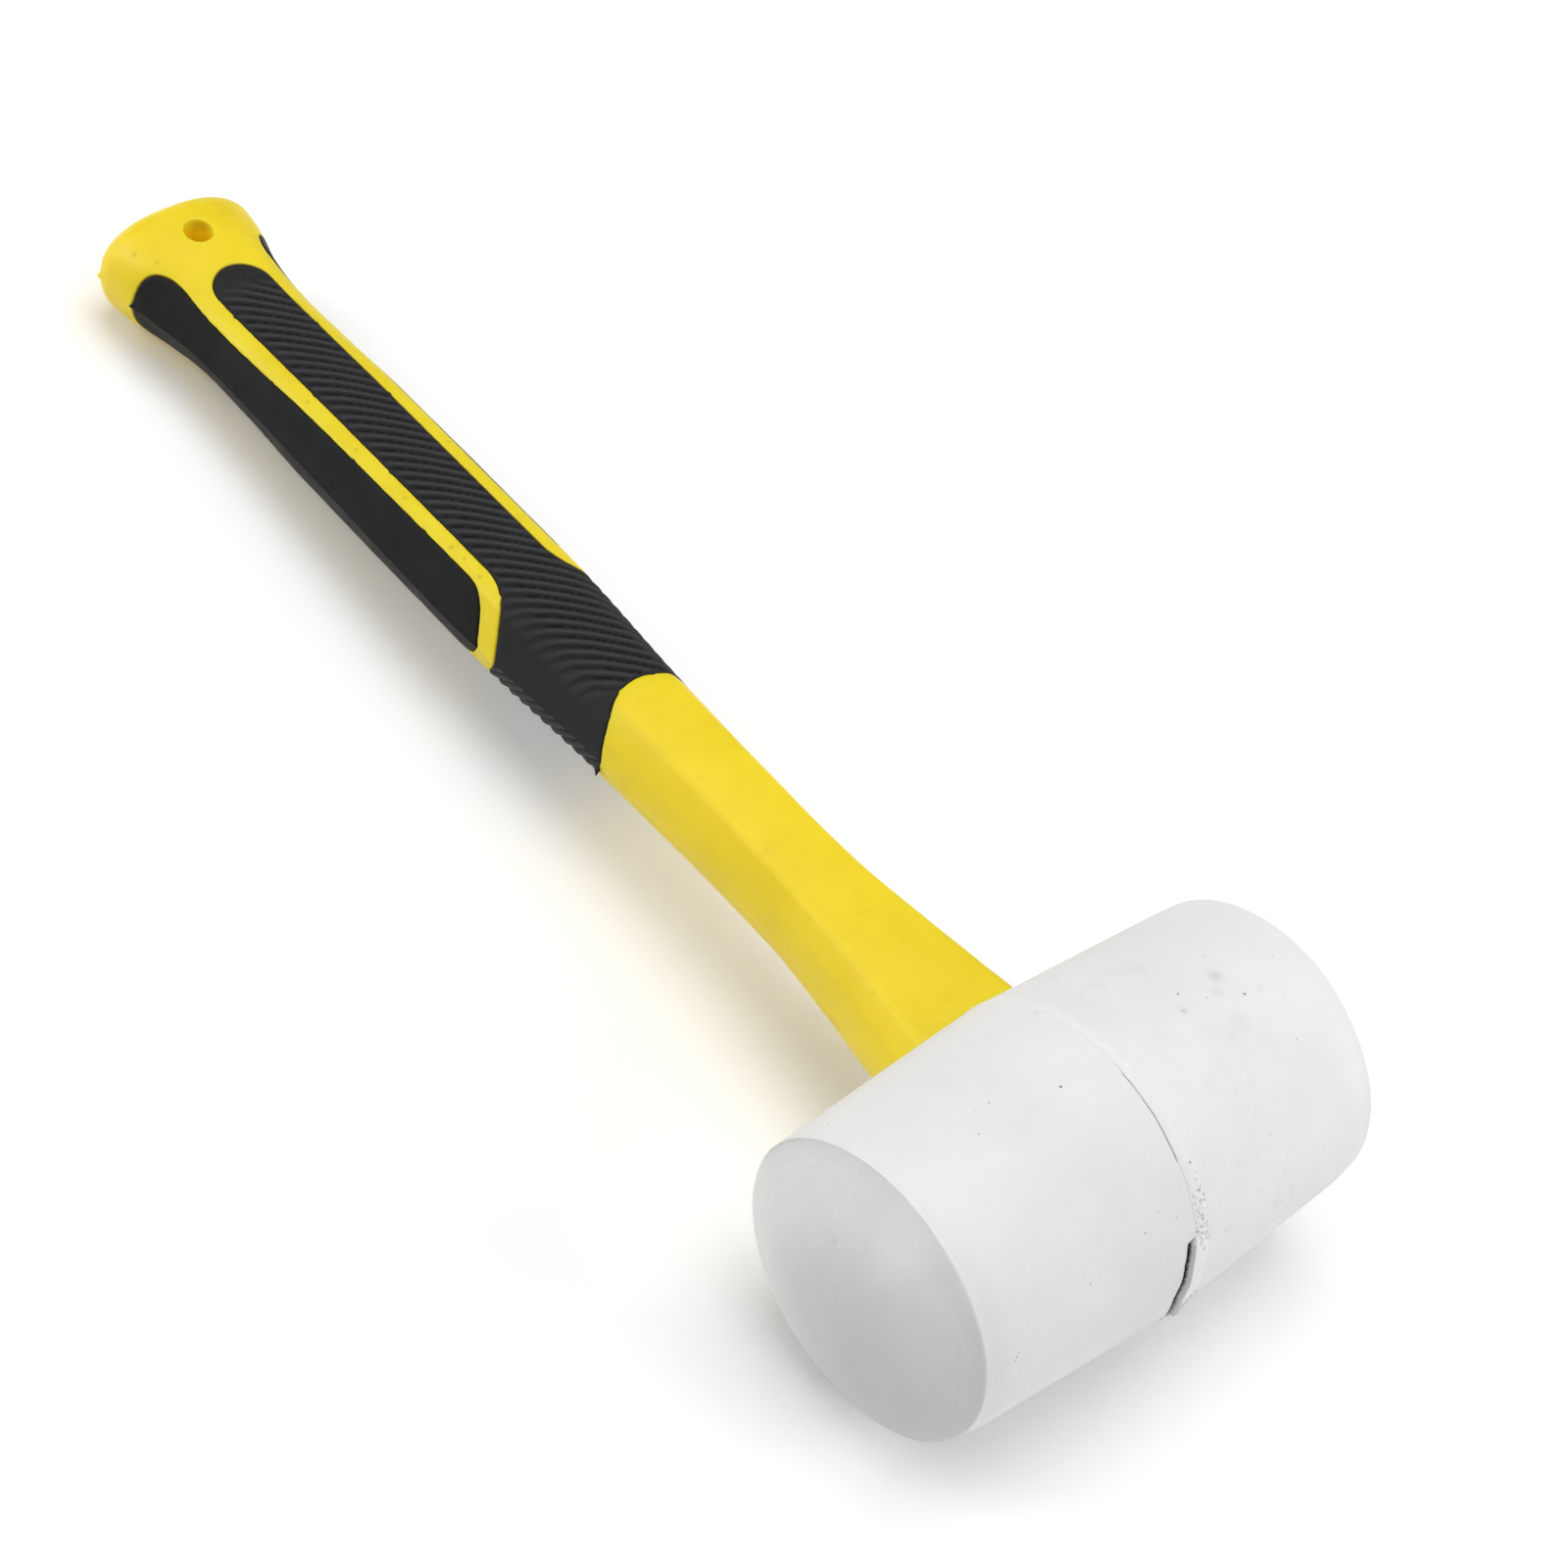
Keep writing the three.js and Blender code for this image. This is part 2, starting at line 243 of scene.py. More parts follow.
def capped_grid_faces(rows, columns):
    """Triangles over a grid of points whose rows close on themselves, with fans from its first and
    last rows to the two centre points that follow it."""
    r, c = np.meshgrid(np.arange(rows - 1), np.arange(columns), indexing="ij")
    a = r * columns + c
    b = r * columns + (c + 1) % columns
    lower = np.stack([a, a + columns, b], -1).reshape(-1, 3)
    upper = np.stack([b, a + columns, b + columns], -1).reshape(-1, 3)
    centre = rows * columns
    last = (rows - 1) * columns
    ring = np.arange(columns)
    following = (ring + 1) % columns
    first_fan = np.stack([np.full(columns, centre), ring, following], -1)
    last_fan = np.stack([np.full(columns, centre + 1), last + following, last + ring], -1)
    return np.vstack([lower, upper, first_fan, last_fan])


def new_object(name, data):
    obj = bpy.data.objects.new(name, data)
    bpy.context.scene.collection.objects.link(obj)
    return obj


def make_object(name, surface, material):
    """A mesh object with its faces pointing out, smooth but for its sharp edges."""
    mesh = bpy.data.meshes.new(name)
    mesh.from_pydata(place(surface.points).tolist(), [], surface.faces.tolist())
    body = bmesh.new()
    body.from_mesh(mesh)
    bmesh.ops.recalc_face_normals(body, faces=body.faces)
    body.to_mesh(mesh)
    body.free()
    # the painted shade, the chalk and the painted crest highlight go to the materials as point attributes
    for key in ("soil", "chalk", "crest"):
        if key in surface.values:
            mesh.attributes.new(key, "FLOAT", "POINT").data.foreach_set("value", surface.values[key])
    obj = new_object(name, mesh)
    mesh.materials.append(material)
    mesh.shade_smooth()
    mesh.set_sharp_from_angle(angle=SHARP_ANGLE)
    return obj


def waves(phase_seed, *coordinates, scale=1.0):
    """Smooth repeatable unevenness between about -1 and 1."""
    total = 0
    for k, frequency in enumerate((1.0, 2.3, 4.1)):
        turn = phase_seed * 1.7 + k * 2.1
        wave = 1.0
        for i, coordinate in enumerate(coordinates):
            wave = wave * np.sin(coordinate * frequency * scale + turn * (i + 1))
        total = total + wave / (1 + k)
    return total / 1.5


# ------------ the handle's outer surface

CORNER_REACH, CORNER_SHARE = 1.1, 0.42  # a rounded corner's length, and its share of an edge at most
NECK_START, GRIP_START = 22, 108
TENON_STEP, NECK_STEP, GRIP_STEP = 3.0, 0.8, 0.27  # between rings
ROLL_SHARE = 0.9  # how much of the butt's length its rounded edge takes; a shallow dome is the rest
OVAL_START, OVAL_END, OVAL_POWER = 244.0, 258.0, 2.35


def section_at(y):
    """Crease x, shoulder x and z, cheek x and z, and the cheek's crown, at each distance along."""
    stations = SECTIONS[:, 0]
    values = SECTIONS[:, 1:]
    last = len(stations) - 1
    slopes = np.empty_like(values)
    for j in range(len(stations)):
        low, high = max(j - 1, 0), min(j + 1, last)
        slopes[j] = (values[high] - values[low]) / (stations[high] - stations[low])
    i = np.clip(np.searchsorted(stations, y, side="left") - 1, 0, last - 1)
    span = stations[i + 1] - stations[i]
    t = np.clip((y - stations[i]) / span, 0, 1)[:, None]
    span = span[:, None]
    return (values[i] * (1 + 2 * t) * (1 - t) ** 2 + values[i + 1] * t * t * (3 - 2 * t)
            + slopes[i] * span * t * (1 - t) ** 2 + slopes[i + 1] * span * t * t * (t - 1))


def rounded_quarter(measures, y):
    """The quarter outline from the cheek's middle to the crease: rounded corners, then an oval."""
    crease, shoulder_x, shoulder_z, cheek_x, cheek_z, crown = measures
    top = cheek_z + crown
    corners = [np.array(p) for p in ((0, top), (cheek_x, cheek_z), (shoulder_x, shoulder_z), (crease, 0))]
    lengths = [np.linalg.norm(corners[i + 1] - corners[i]) for i in range(3)]
    unit = [(corners[i + 1] - corners[i]) / lengths[i] for i in range(3)]
    first = min(CORNER_REACH, CORNER_SHARE * min(lengths[0], lengths[1]))
    second = min(CORNER_REACH, CORNER_SHARE * min(lengths[1], lengths[2]))
    a0, a1 = corners[1] - unit[0] * first, corners[1] + unit[1] * first
    b0, b1 = corners[2] - unit[1] * second, corners[2] + unit[2] * second
    out = []

    def line(p, q, count, rise, crowding=1.0):
        normal = np.array([-(q - p)[1], (q - p)[0]]) / np.linalg.norm(q - p)
        for k in range(count):
            t = 1 - (1 - k / count) ** crowding
            out.append(p + (q - p) * t + normal * rise * 4 * t * (1 - t))

    def bend(p, corner, q, count):
        for k in range(count):
            t = k / count
            out.append(p * (1 - t) ** 2 + corner * 2 * t * (1 - t) + q * t * t)

    line(corners[0], a0, 14, crown / 4)
    bend(a0, corners[1], a1, 6)
    line(a1, b0, 7, 0.05)
    bend(b0, corners[2], b1, 6)
    line(b1, corners[3], 13, FACET_CROWN, crowding=1.7)
    out.append(corners[3])
    outline = np.array(out)
    share = float(np.clip((y - OVAL_START) / (OVAL_END - OVAL_START), 0, 1))
    share = share * share * (3 - 2 * share)
    reach = np.sum((outline / (crease, top)) ** OVAL_POWER, axis=1) ** (1 / OVAL_POWER)
    return outline * (1 - share + share / reach)[:, None]


def whole_section(quarter):
    """The closed outline that a quarter outline makes by mirroring."""
    half = np.vstack([quarter, quarter[-2::-1] * (1, -1)])
    return np.vstack([half, half[-2:0:-1] * (-1, 1)])


def lengths_along(outline):
    """The length from the outline's first point to each of its points."""
    steps = np.linalg.norm(np.diff(outline, axis=0), axis=1)
    return np.concatenate([[0], np.cumsum(steps)])


def ring_heights():
    tenon = np.arange(TENON_END, NECK_START, TENON_STEP)
    neck = np.arange(NECK_START, GRIP_START, NECK_STEP)
    grip = np.arange(GRIP_START, HANDLE_END - BUTT_AXIAL, GRIP_STEP)
    return np.concatenate([tenon, neck, grip])


def handle_surface():
    """The whole outer skin of the handle, with each point's place on it: w across and y along."""
    heights = ring_heights()
    roll_start = HANDLE_END - BUTT_AXIAL
    roll = np.linspace(0, math.pi / 2, 18)
    roll_y = roll_start + BUTT_AXIAL * ROLL_SHARE * np.sin(roll)
    shrink = BUTT_RADIAL * (1 - np.cos(roll))
    dome = np.linspace(1, 0, 12)[1:-1]
    all_y = np.concatenate([heights, roll_y])
    measures = section_at(np.minimum(all_y, roll_start))
    inset = np.concatenate([np.zeros(len(heights)), shrink])
    points, across, crease_distance = [], [], []
    for y, m, s in zip(all_y, measures, inset):
        quarter = rounded_quarter(m, y)
        scale = np.array([(m[0] - s) / m[0], (m[4] - s) / m[4]])
        length = lengths_along(quarter)
        whole = whole_section(quarter * scale)
        half_w = np.concatenate([length, length[-2::-1]])
        whole_w = np.concatenate([half_w, -half_w[-2:0:-1]])
        points.append(np.column_stack([whole[:, 0], np.full(len(whole), y), whole[:, 1]]))
        across.append(whole_w)
        crease_distance.append(length[-1] - np.abs(whole_w))
    last = points[-1]
    for k in dome:
        ring = last * (k, 1, k)
        ring[:, 1] = last[0, 1] + BUTT_AXIAL * (1 - ROLL_SHARE) * (1 - k * k)
        points.append(ring)
        across.append(across[-1])
        crease_distance.append(crease_distance[-1])
    points = np.array(points)
    normals = grid_normals(points)
    centre_points = np.array([[0, TENON_END, 0], [0, HANDLE_END, 0]])
    w = np.append(across, [0, 0])
    y = np.append(points[:, :, 1], [TENON_END, HANDLE_END])
    crease = np.append(crease_distance, [9, 9])
    normal = np.vstack([normals.reshape(-1, 3), [[0, -1, 0], [0, 1, 0]]])
    return Surface(
        np.vstack([points.reshape(-1, 3), centre_points]), capped_grid_faces(*points.shape[:2]),
        w=w, y=y, crease=crease, normal=normal,
    )


def grid_normals(points):
    """Outward unit normals of a grid of points whose rows close on themselves."""
    around = np.roll(points, -1, axis=1) - np.roll(points, 1, axis=1)
    along = np.gradient(points, axis=0)
    normal = np.cross(around, along)
    return normal / np.maximum(np.linalg.norm(normal, axis=2, keepdims=True), 1e-12)


def w_of_x(x, y):
    """How far round the section, from the cheek's middle, an outline point lies."""
    measures = section_at(np.array([min(y, HANDLE_END - BUTT_AXIAL)]))[0]
    quarter = rounded_quarter(measures, y)
    length = lengths_along(quarter)
    size = abs(x)
    beyond = max(0.0, size - quarter[-1, 0])
    return math.copysign(np.interp(size, quarter[:, 0], length) + beyond, x)


# ------------ outlines of the soft grip


def turned_edge(x, edge_x, corner_y):
    """How far along the handle a rail's turn lies at x."""
    return corner_y - (x - edge_x) * math.tan(RAIL_TURN)


def turn_points(edge_x, corner_y, count=8):
    """The rounded corner between a rail's straight part and its turn towards the crease."""
    turn_x = edge_x + TURN_RADIUS * math.cos(RAIL_TURN)
    start = np.array([turn_x, turned_edge(turn_x, edge_x, corner_y)])
    corner = np.array([edge_x, corner_y])
    end = corner + (0, TURN_RADIUS)
    t = np.linspace(0, 1, count)[:, None]
    return start * (1 - t) ** 2 + corner * 2 * t * (1 - t) + end * t * t


def dense(points, step=1.0):
    """The corners of a closed outline, with more between them where they lie far apart."""
    out = []
    for p, q in zip(points, points[1:] + points[:1]):
        p, q = np.array(p, float), np.array(q, float)
        count = max(1, int(np.linalg.norm(q - p) / step))
        out.extend(p + (q - p) * k / count for k in range(count))
    return out


def ribbed_outline():
    edge_y = turned_edge(TURN_X, RIBBED_HALF_WIDTH, RIBBED_CORNER)
    half = []
    for x in np.linspace(0, 12, 13):
        half.append((x, COLLAR_APEX - COLLAR_DROP * (x / COLLAR_AT) ** 2))
    half.append((OUTSIDE, half[-1][1]))
    half.append((OUTSIDE, edge_y))
    half.append((TURN_X, edge_y))
    half.extend(map(tuple, turn_points(RIBBED_HALF_WIDTH, RIBBED_CORNER)))
    centre = RIBBED_END - RIBBED_HALF_WIDTH
    for angle in np.linspace(0, math.pi / 2, 14):
        half.append((RIBBED_HALF_WIDTH * math.cos(angle), centre + RIBBED_HALF_WIDTH * math.sin(angle)))
    return half + [(-x, y) for x, y in half[-2:0:-1]]


def panel_outline(side):
    edge_y = turned_edge(TURN_X, PANEL_LOW, PANEL_CORNER)
    points = [(OUTSIDE, edge_y), (TURN_X, edge_y)]
    points.extend(map(tuple, turn_points(PANEL_LOW, PANEL_CORNER)))
    radius = PANEL_END_X - PANEL_HIGH
    for angle in np.linspace(math.pi, PANEL_END_TURN, 20):
        x = PANEL_END_X + radius * math.cos(angle)
        points.append((x, PANEL_END_Y + PANEL_END_LENGTH * math.sin(angle)))
    points.append((OUTSIDE, points[-1][1]))
    return [(x * side, y) for x, y in points]


def polygon_distance(corners, u, v):
    """Signed distance of the points (u, v) from a closed polygon, positive inside."""
    best = np.full(len(u), 1e9)
    inside = np.zeros(len(u), bool)
    for (ax, ay), (bx, by) in zip(corners, np.roll(corners, -1, axis=0)):
        dx, dy = bx - ax, by - ay
        square = dx * dx + dy * dy
        if square < 1e-12:
            continue
        t = np.clip(((u - ax) * dx + (v - ay) * dy) / square, 0, 1)
        best = np.minimum(best, (u - ax - t * dx) ** 2 + (v - ay - t * dy) ** 2)
        if dy != 0:
            inside ^= ((ay > v) != (by > v)) & (u < dx * (v - ay) / dy + ax)
    distance = np.sqrt(best)
    return np.where(inside, distance, -distance)


def outline_distance(outline, w, y):
    """Signed distance from an outline, unrolled on the handle's skin, positive inside."""
    corners = np.array([(w_of_x(px, py), py) for px, py in dense(outline)])
    return polygon_distance(corners, w, y)


# ------------ the handle's pieces

GROOVE_HALF = 0.05
GRIP_LIP = 0.45
JACKET_LIP = 0.3
POCKET_DEPTH = 1.9
GRIP_THICKNESS = 1.75
RIB_HEIGHT = 0.8
RIB_PITCH = 2.92
# how far the ribs' lines fall back along the handle for each millimetre across, at places across
RIB_PLACES = np.array([-22.0, -13.0, -7.0, -1.0, 6.0, 22.0])
RIB_SLOPES = np.array([-0.3, -0.05, 0.62, 0.88, 0.98, 1.2])
RIB_RISE = 0.4  # the share of the pitch that a rib rises over
# where the ribs begin, and over what length they grow: across, from the collar, end and edge
FADE_ACROSS, FADE_COLLAR, FADE_END, FADE_EDGE = (-11.5, 7.0), (-4.0, 5.0), (4.8, 4.0), (0.25, 0.7)

# small teeth of flash along the grip's trim lines: x, y, how far they stick out
NOTCHES = [
    (-6.4, 231.0, 0.4), (-10.2, 214.0, 0.45), (-6.4, 205.5, 0.25), (-9.9, 188.5, 0.4),
    (-6.4, 181.5, 0.3), (-9.7, 167.0, 0.3), (6.4, 222.0, 0.3), (6.4, 199.0, 0.35), (9.9, 178.0, 0.3),
    (-8.2, 146.0, -0.3), (3.4, 116.6, 0.35), (-4.2, 116.4, -0.3), (-8.6, 114.0, 0.35),
    (7.2, 115.2, -0.3),
]
GATE_X, GATE_Y, GATE_RADIUS, GATE_HEIGHT = 1.5, 238.6, 1.15, 0.5
# small spikes of flash: spot, pull and reach
PANEL_SPIKE = (-16.3, 250.6, 0), (-0.75, 0.5, 0.3), 1.1
COLLAR_SPIKE = (-11.3, 111.5, -2.0), (-0.9, -1.0, -1.7), 1.8
BUTT_SPIKE = (-16.4, 260.6, 0), (-0.9, 0.5, 0.3), 1.1


def lip_drop(distance, radius):
    """How far a rounded edge lies below the surface, at a distance from the edge."""
    inner = np.clip(1 - distance / radius, 0, 1)
    return radius * (1 - np.sqrt(1 - inner * inner))


def fade(value, start, length):
    """0 up to the start, then rising to 1 over the length."""
    return np.clip((value - start) / length, 0, 1)


def rib_relief(w, y, top_side, distance):
    """Height of the ribs, and a painted highlight along their crests that stays at 0.3 where the ribs fade
    out; the cheeks match when turned about the handle's axis.
    """
    turned = np.where(top_side, w, -w)
    fine = np.linspace(RIB_PLACES[0], RIB_PLACES[-1], 441)
    slope = np.interp(fine, RIB_PLACES, RIB_SLOPES)
    shift = np.concatenate([[0], np.cumsum((slope[1:] + slope[:-1]) / 2 * np.diff(fine))])
    shift -= np.interp(0, fine, shift)
    wobble = 0.1 * waves(3, turned, y * 0.35, scale=0.5)
    phase = (y + np.interp(turned, fine, shift) + wobble) / RIB_PITCH
    share = phase - np.floor(phase)
    climb = np.where(share < RIB_RISE, share / RIB_RISE, (1 - share) / (1 - RIB_RISE))
    profile = np.sin(climb * math.pi / 2)
    shown = fade(turned, *FADE_ACROSS) * fade(y - COLLAR_APEX + 0.4 * turned, *FADE_COLLAR)
    shown = shown * fade(RIBBED_END - y, *FADE_END) * fade(distance, *FADE_EDGE)
    # the second value is a painted highlight: lightest on the rib crests
    return RIB_HEIGHT * (profile - 1) * shown, 0.3 * (1 - shown) + profile ** 1.5 * shown


def cut_handle():
    """The handle's skin, cut along the outlines of the grip and the hang hole."""
    skin = handle_surface()
    w, y = skin.values["w"], skin.values["y"]
    trim = 0.07 * waves(1, w * 0.4, y, scale=0.55) + 0.035 * waves(2, w, y, scale=1.9)
    for x, along, reach in NOTCHES:
        trim += reach * np.exp(-((w - w_of_x(x, along)) / 0.5) ** 2 - ((y - along) / 0.4) ** 2)
    skin.values["ribbed"] = outline_distance(ribbed_outline(), w, y) + trim
    skin.values["front"] = outline_distance(panel_outline(-1), w, y) + trim
    skin.values["rear"] = outline_distance(panel_outline(1), w, y) + trim
    plan = np.hypot(skin.points[:, 0], skin.points[:, 1] - HOLE_Y)
    skin.values["hole"] = plan - HOLE_RADIUS
    skin.values["hole"][-2:] = 20
    for name in ("ribbed", "front", "rear"):
        for level in (GROOVE_HALF, GROOVE_HALF + 0.1, GROOVE_HALF + 0.25, -GROOVE_HALF, -GROOVE_HALF - 0.12):
            skin.split(name, level)
    for level in (0.0, 0.1, 0.3):
        skin.split("hole", level)
    return skin


def parting_ridge(crease, height):
    return height * np.exp(-(crease / 0.28) ** 2)


def draw_spike(surface, spot, pull, reach):
    """Pulls the points near a spot out into a small spike of flash."""
    away = np.linalg.norm(surface.points - spot, axis=1)
    share = np.clip(1 - away / reach, 0, 1) ** 1.5
    surface.points = surface.points + share[:, None] * pull


def grip_face(skin, name, ridge):
    """A grip piece's outer face, with the height of its parting ridge and its rounded edge."""
    front = skin.part(skin.face_mean(name) > GROOVE_HALF)
    v = front.values
    return front, parting_ridge(v["crease"], ridge) - lip_drop(v[name] - GROOVE_HALF, GRIP_LIP)


def smooth_panel(skin, name):
    front, lift = grip_face(skin, name, 0.16)
    v = front.values
    uneven = 0.03 * waves(5, v["w"], v["y"], scale=0.25)
    front.points = front.points + v["normal"] * (lift + uneven)[:, None]
    if name == "front":
        draw_spike(front, *PANEL_SPIKE)
    return thickened(front, -v["normal"] * GRIP_THICKNESS)


def ribbed_grip(skin):
    front, lift = grip_face(skin, "ribbed", 0.12)
    v = front.values
    top_side = front.points[:, 2] > 0
    # the ribs' painted crest highlight is kept as a point value
    relief, v["crest"] = rib_relief(v["w"], v["y"], top_side, v["ribbed"] - GROOVE_HALF)
    around_gate = np.hypot(front.points[:, 0] - GATE_X, v["y"] - GATE_Y)
    gate = np.exp(-((around_gate - GATE_RADIUS) / 0.3) ** 2) + 0.7 * np.exp(-(around_gate / 0.35) ** 2)
    gate = np.where(top_side, GATE_HEIGHT * gate, 0)
    front.points = front.points + v["normal"] * (lift + relief + gate)[:, None]
    draw_spike(front, *COLLAR_SPIKE)
    return thickened(front, -v["normal"] * GRIP_THICKNESS)


# small dents in the butt: x, y, size and depth
BUTT_DENTS = [
    (-12.7, 255.2, 0.45, 0.14), (-10.9, 250.7, 0.5, 0.12), (7.5, 248.0, 0.4, 0.1),
    (-2.5, 261.0, 0.35, 0.1),
]


def jacket(skin):
    """The yellow moulding: its outside, the pockets' floors, the walls between, and the hole."""
    v = skin.values
    v["black"] = np.maximum(np.maximum(v["ribbed"], v["front"]), v["rear"])
    v["id"] = np.arange(len(skin.points))
    face_black = skin.face_mean("black") > -GROOVE_HALF
    in_hole = skin.face_mean("hole") < 0
    outside = skin.part(~face_black & ~in_hole)
    o = outside.values
    drop = lip_drop(-GROOVE_HALF - o["black"], JACKET_LIP)
    hole_drop = lip_drop(o["hole"], 0.3)
    ridge = parting_ridge(o["crease"], 0.1) * (o["y"] < HANDLE_END - 1)
    uneven = 0.05 * waves(8, o["w"], o["y"], scale=0.12)
    dents = sum(depth * np.exp(-((o["w"] - w_of_x(x, along)) ** 2 + (o["y"] - along) ** 2) / size ** 2)
                * (outside.points[:, 2] > 0) for x, along, size, depth in BUTT_DENTS)
    lift = ridge + uneven - drop - hole_drop - dents
    outside.points = outside.points + o["normal"] * lift[:, None]
    draw_spike(outside, *BUTT_SPIKE)
    floor = skin.part(face_black)
    floor.points = floor.points - floor.values["normal"] * POCKET_DEPTH
    return closed_jacket(outside, floor)


def closed_jacket(outside, floor):
    """Joins the outside to the pocket floors and drills the hang hole's wall."""
    both = joined(outside, floor)
    offset = len(outside.points)
    rim = outside.rim()
    is_hole = np.abs(outside.values["hole"][rim]).max(1) < 1e-6
    floor_index = {int(floor.values["id"][i]): i + offset for i in np.unique(floor.rim())}
    faces = []
    for a, b in rim[~is_hole].tolist():
        c, d = (floor_index[int(outside.values["id"][i])] for i in (a, b))
        faces.extend([(b, a, c), (b, c, d)])
    both.faces = np.vstack([both.faces, np.array(faces)])
    return drilled(both, outside, rim[is_hole])


def drilled(surface, outside, hole_rim):
    """Adds the hang hole's wall between its upper and lower rims."""
    upper = hole_rim[outside.points[hole_rim[:, 0], 2] > 0]
    lower = hole_rim[outside.points[hole_rim[:, 0], 2] < 0]
    rings = []
    for rim in (upper, lower):
        corners = np.unique(rim)
        p = outside.points[corners]
        angle = np.arctan2(p[:, 1] - HOLE_Y, p[:, 0])
        order = np.argsort(angle)
        rings.append((corners[order], angle[order]))
    (top, top_angle), (bottom, bottom_angle) = rings
    faces = []
    i = j = 0
    while i < len(top) or j < len(bottom):
        next_top = top_angle[i + 1] if i + 1 < len(top) else top_angle[0] + 2 * math.pi
        next_bottom = bottom_angle[j + 1] if j + 1 < len(bottom) else bottom_angle[0] + 2 * math.pi
        a, b = top[i % len(top)], bottom[j % len(bottom)]
        if j >= len(bottom) or (i < len(top) and next_top < next_bottom):
            faces.append((a, top[(i + 1) % len(top)], b))
            i += 1
        else:
            faces.append((a, bottom[(j + 1) % len(bottom)], b))
            j += 1
    surface.faces = np.vstack([surface.faces, np.array(faces)])
    return surface


# ------------ the head

CRACK_X = -1.0
# stretches of the seam, in degrees round the head: thin splits, the lifted flap of flash, its torn
# end, the chalky part and the pitted part
SPLITS = [(97.0, 104.5), (106.5, 128.0)]
FLAP = (157.0, 195.0)
TORN = (184.0, 200.0)
CHALKY = (60.0, 96.0)
PITTED = (133.0, 163.0)
# the dark gap under the flap: degrees round the head, and x
GAP_LINE = np.array([
    (155, -1.6), (157, -2.1), (165, -2.6), (173, -2.6), (180, -3.2), (191, -1.9), (196, -1.2),
])
GAP_DEPTH, GAP_HALF = 1.7, 0.22
FLASH_HEIGHT, FLAP_LIFT = 0.1, 0.85
SPLIT_DEPTH, SPLIT_HALF = 0.5, 0.04
TORN_HEIGHT = 0.3
PIT_COUNT = 90
SEAM_START, GAP_END, SEAM_END = -4.5, -0.5, 3.6  # in x; the grid is fine here, finest at the gap


def band(limits, value, soft):
    """1 between the limits, falling smoothly to 0 over the soft distance outside them."""
    rise = np.clip((value - limits[0]) / soft + 1, 0, 1)
    fall = np.clip((limits[1] - value) / soft + 1, 0, 1)
    both = np.minimum(rise, fall)
    return both * both * (3 - 2 * both)


def barrel_radius(x):
    taper_end = HEAD_LENGTH / 2 - ROLL_AXIAL
    return HEAD_RADIUS - (HEAD_RADIUS - FACE_RADIUS) * np.abs(x) / taper_end


def head_profile():
    """(x, radius) along the head, from near the middle of one face to the middle of the other."""
    taper_end = HEAD_LENGTH / 2 - ROLL_AXIAL
    disc = [(-HEAD_LENGTH / 2, r) for r in np.linspace(0.5, FACE_RADIUS - ROLL_RADIAL, 22, endpoint=False)]
    roll = [(-taper_end - ROLL_AXIAL * math.cos(angle), FACE_RADIUS - ROLL_RADIAL * (1 - math.sin(angle)))
            for angle in np.linspace(0, math.pi / 2, 36)]
    x = np.concatenate([
        np.linspace(-taper_end, SEAM_START, 50)[1:], np.arange(SEAM_START, GAP_END, 0.04)[1:],
        np.arange(GAP_END, SEAM_END, 0.1), np.linspace(SEAM_END, taper_end, 50)[:-1],
    ])
    barrel = np.column_stack([x, barrel_radius(x)])
    return np.vstack([disc, roll, barrel, [(-x, radius) for x, radius in reversed(disc + roll)]])


def head_angles():
    """Angles round the head, close together where the seam shows its splits and pits."""
    return np.radians(np.concatenate([np.arange(84, 202, 0.42), np.arange(202, 444, 1.2)]))


def seam_relief(x, degrees):
    """Height of the flash round the middle, the painted shade in its splits and gap, and its chalkiness."""
    flap = band(FLAP, degrees, 1.5)
    pitted = band(PITTED, degrees, 4.0)
    ragged = 0.1 * waves(4, degrees * 0.5) + 0.05 * waves(6, degrees * 1.9)
    gap_x = np.interp(degrees, GAP_LINE[:, 0], GAP_LINE[:, 1]) + 0.05 * waves(12, degrees * 0.7)
    low_edge = CRACK_X * (1 - flap) + (gap_x + GAP_HALF) * flap + 0.3 * ragged
    high_edge = 1.1 + 0.9 * np.maximum(pitted, flap) + ragged
    across = np.clip((high_edge - x) / (high_edge - low_edge), 0, 1)
    wall = 0.12 + 0.2 * pitted * (1 - flap) + 0.08 * flap
    step = np.clip((x - low_edge) / wall, 0, 1) * np.clip((high_edge - x) / 0.4, 0, 1)
    height = step * (FLASH_HEIGHT + FLAP_LIFT * flap * across ** 1.4)
    gap = flap * np.exp(-((x - low_edge + GAP_HALF) / GAP_HALF) ** 4)
    split = 0.0
    for limits in SPLITS:
        split = split + band(limits, degrees, 1.2)
    split = split * np.exp(-((x - CRACK_X + 0.06 - 0.07 * waves(7, degrees * 0.24)) / SPLIT_HALF) ** 2)
    torn = band(TORN, degrees, 1.0) * band((-1.8, 2.2), x, 0.3)
    torn = torn * np.clip(waves(13, x * 5.0, degrees * 1.3) + 0.2, 0, 1)
    sunk = 0.3 * flap * np.exp(-((x - low_edge + 0.55) / 0.35) ** 2)
    height = height - GAP_DEPTH * gap - sunk - SPLIT_DEPTH * split + TORN_HEIGHT * torn
    # painted shade: near black in the gap under the flap and in the thin splits
    soil = np.clip(flap * (gap > 0.02) * np.clip(-height / 0.3, 0, 1) + 0.93 * split, 0, 1)
    chalk = step * (0.5 + 0.5 * waves(15, x * 2.2, degrees * 0.8))
    chalk = chalk * (0.35 + 0.65 * band(CHALKY, degrees, 8.0))
    return height, soil, chalk


